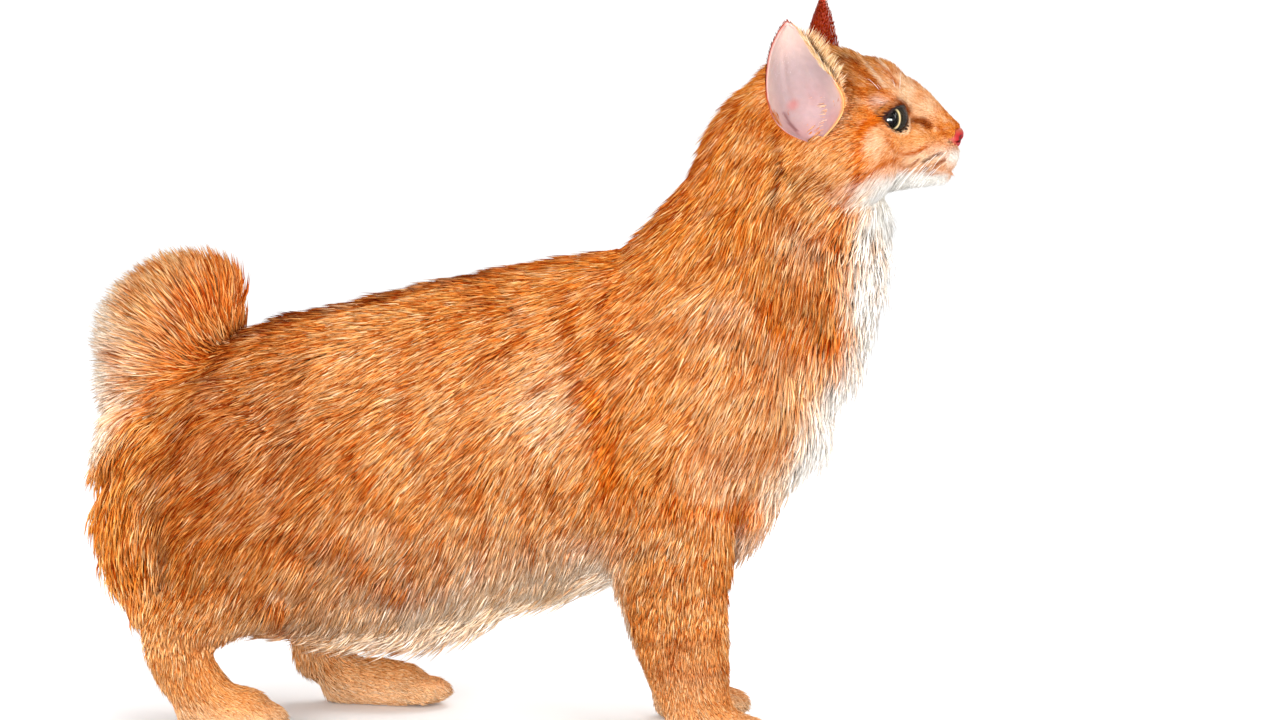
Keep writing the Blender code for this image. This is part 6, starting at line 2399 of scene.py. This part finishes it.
def read_unwrap(mesh: Mesh) -> Points:
    """Where each tuft's root lies on the unwrap, at each of its points."""
    layer = mesh.attributes["unwrap"]
    if layer.domain == "POINT":
        return read_attribute(mesh, "unwrap", "vector", len(layer.data[0].vector))[:, :2]
    values = np.empty(len(mesh.loops) * 2, np.float32)
    layer.data.foreach_get("vector", values)
    out = np.zeros((len(mesh.vertices), 2), np.float32)
    out[corners_of(mesh)] = values.reshape(-1, 2)
    return out


def tuft_colours(root: Points, tip: Points, share: Points, shade: Points, span: Points) -> Points:
    """The colour at each point of the tufts.

    Args:
        root: The colour of each point's tuft at its root.
        tip: And at its tip.
        share: How far along its tuft each point is.
        shade: A random value from 0 to 1 for each tuft.
        span: The tufts' length in millimetres; short ones are more alike.

    Returns:
        The colours, with some tufts darker and some paler.
    """
    # The mix starts from the darker root colour, which is partly painted shade deep in the coat.
    mixed = root + (tip - root) * (0.10 + 0.90 * share**1.2)[:, None]
    strong = (0.45 + 0.55 * fade(3.0, 12.0, span))[:, None]
    dark = fade(0.42, 0.0, shade)[:, None] * strong
    pale = fade(0.60, 1.0, shade)[:, None] * strong
    mixed = np.clip(mixed, 0, 1) ** (1 + 0.60 * dark - 0.44 * pale) * (1 - 0.34 * dark)
    mixed *= 1 + (0.14 * ((shade * 7.0) % 1.0) - 0.08)[:, None] * strong
    # Darker towards each tuft's root: painted shade deep in the coat.
    return np.clip(mixed * (0.86 + 0.14 * share)[:, None], 0, 1)


# The studio.


@dataclass(frozen=True)
class Lamp:
    """A soft square light: where it is, how wide, how strong and how warm."""

    name: str
    at: tuple[float, float, float]
    size: float
    power: float
    colour: tuple[float, float, float] = (1.0, 1.0, 1.0)
    for_eyes: bool = False


@dataclass
class Studio:
    """The pale floor, the soft light and the camera."""

    sensor: float = 36.0
    background: float = 1.12
    lamps: tuple[Lamp, ...] = (
        Lamp("key", (1.15, -1.25, 1.05), 0.7, 14.0, (1.0, 0.99, 0.97)),
        Lamp("fill", (-0.15, -1.70, 0.04), 1.2, 56.0),
        Lamp("rim", (0.3, 1.3, 1.2), 0.8, 10.0),
        Lamp("catchlight", (0.08, -1.53, 0.27), 0.9, 310.0, for_eyes=True),
    )

    def target(self) -> Vector:
        """What the camera and the lights look at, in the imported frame."""
        return Vector((np.array(VIEW.target) + (OFFSET_X, 0, 0)) * MM)

    def build(self, eyes: Sequence[Object]) -> None:
        """Puts the floor, the lights and the camera in the scene.

        Args:
            eyes: The pieces that the catchlight shows in, and the only ones it lights.
        """
        bpy.ops.mesh.primitive_plane_add(size=30.0, location=(0, 0, -0.0002))
        floor = bpy.context.object
        floor.name = "floor"
        floor.data.materials.append(FloorFinish().material())
        world = bpy.data.worlds.new("studio")
        world.use_nodes = True
        shader = world.node_tree.nodes["Background"]
        shader.inputs["Color"].default_value = (1.0, 1.0, 1.0, 1.0)
        shader.inputs["Strength"].default_value = self.background
        bpy.context.scene.world = world
        mirrors = bpy.data.collections.new("mirrors")
        for eye in eyes:
            mirrors.objects.link(eye)
        for lamp in self.lamps:
            light = self.add_lamp(lamp)
            if lamp.for_eyes:
                light.light_linking.receiver_collection = mirrors
                light.visible_camera = False
                light.visible_diffuse = False
                light.visible_transmission = False
        self.add_camera()
        bpy.context.scene.view_settings.view_transform = "Standard"

    def add_lamp(self, lamp: Lamp) -> Object:
        """Adds one soft light that looks at the cat, and gives it back."""
        light = bpy.data.lights.new(lamp.name, "AREA")
        light.size = lamp.size
        light.energy = lamp.power
        light.color = lamp.colour
        obj = bpy.data.objects.new(lamp.name, light)
        obj.location = lamp.at
        way = self.target() - Vector(lamp.at)
        obj.rotation_euler = way.to_track_quat("-Z", "Y").to_euler()
        bpy.context.scene.collection.objects.link(obj)
        return obj

    def add_camera(self) -> None:
        """Adds the camera at the photo's angle."""
        data = bpy.data.cameras.new("camera")
        data.sensor_width = self.sensor
        data.lens = self.sensor * VIEW.distance / VIEW.frame_width
        camera = bpy.data.objects.new("camera", data)
        back = Vector(VIEW.back())
        camera.location = self.target() + back * VIEW.distance * MM
        camera.rotation_euler = (-back).to_track_quat("-Z", "Y").to_euler()
        bpy.context.scene.collection.objects.link(camera)
        bpy.context.scene.camera = camera


FLESH_NODES = ("head", "neck", "chest", "abdomen", "tail")
LEG_NODES = {"foreleg": ("upper", "forearm", "paw"), "hindleg": ("thigh", "hock", "foot")}


def flesh_nodes() -> list[str]:
    """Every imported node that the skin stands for."""
    names = list(FLESH_NODES)
    for limb, parts in LEG_NODES.items():
        for hand in HANDS.values():
            names += [f"{limb}_{hand}_{part}" for part in parts]
    return names


def main() -> None:
    """Builds every piece of the cat in order."""
    logging.basicConfig(level=logging.INFO, format="%(relativeCreated)d %(message)s")
    coat_finish = COAT_FINISH.material()
    ear_finish = EAR_FINISH.material()
    lid_finish = LID_FINISH.material()
    iris_finish = IRIS_FINISH.material()
    cornea_finish = CorneaFinish().material()
    skin = Flesh().build()
    LOG.info("skin made")
    coat = Coat(skin)
    coat.colour_skin()
    LOG.info("coat combed")
    for piece in coat.grow(coat_finish):
        dressed(piece, coat_finish)
    shape = bmesh.new()
    shape.from_mesh(skin.data)
    surface = BVHTree.FromBMesh(shape)
    shape.free()
    dressed(skin, SKIN_FINISH.material(), flesh_nodes())
    dressed(Nose().build(), NOSE_FINISH.material(), ["nose"])
    dressed(Whiskers().build(surface), coat_finish)
    corneas = []
    for side, hand in HANDS.items():
        eye = Eye(side)
        dressed(eye.globe(), iris_finish, [f"eye_{hand}"])
        corneas.append(dressed(eye.cornea(), cornea_finish))
        rim = eye.rim(f"eye_{hand}_rim", grow=0.2, radius=0.5, lift=0.35)
        dressed(rim, lid_finish)
        dressed(Ear.of(side).build(), ear_finish, [f"ear_{hand}"])
    Studio().build(corneas)


if __name__ == "__main__":
    main()
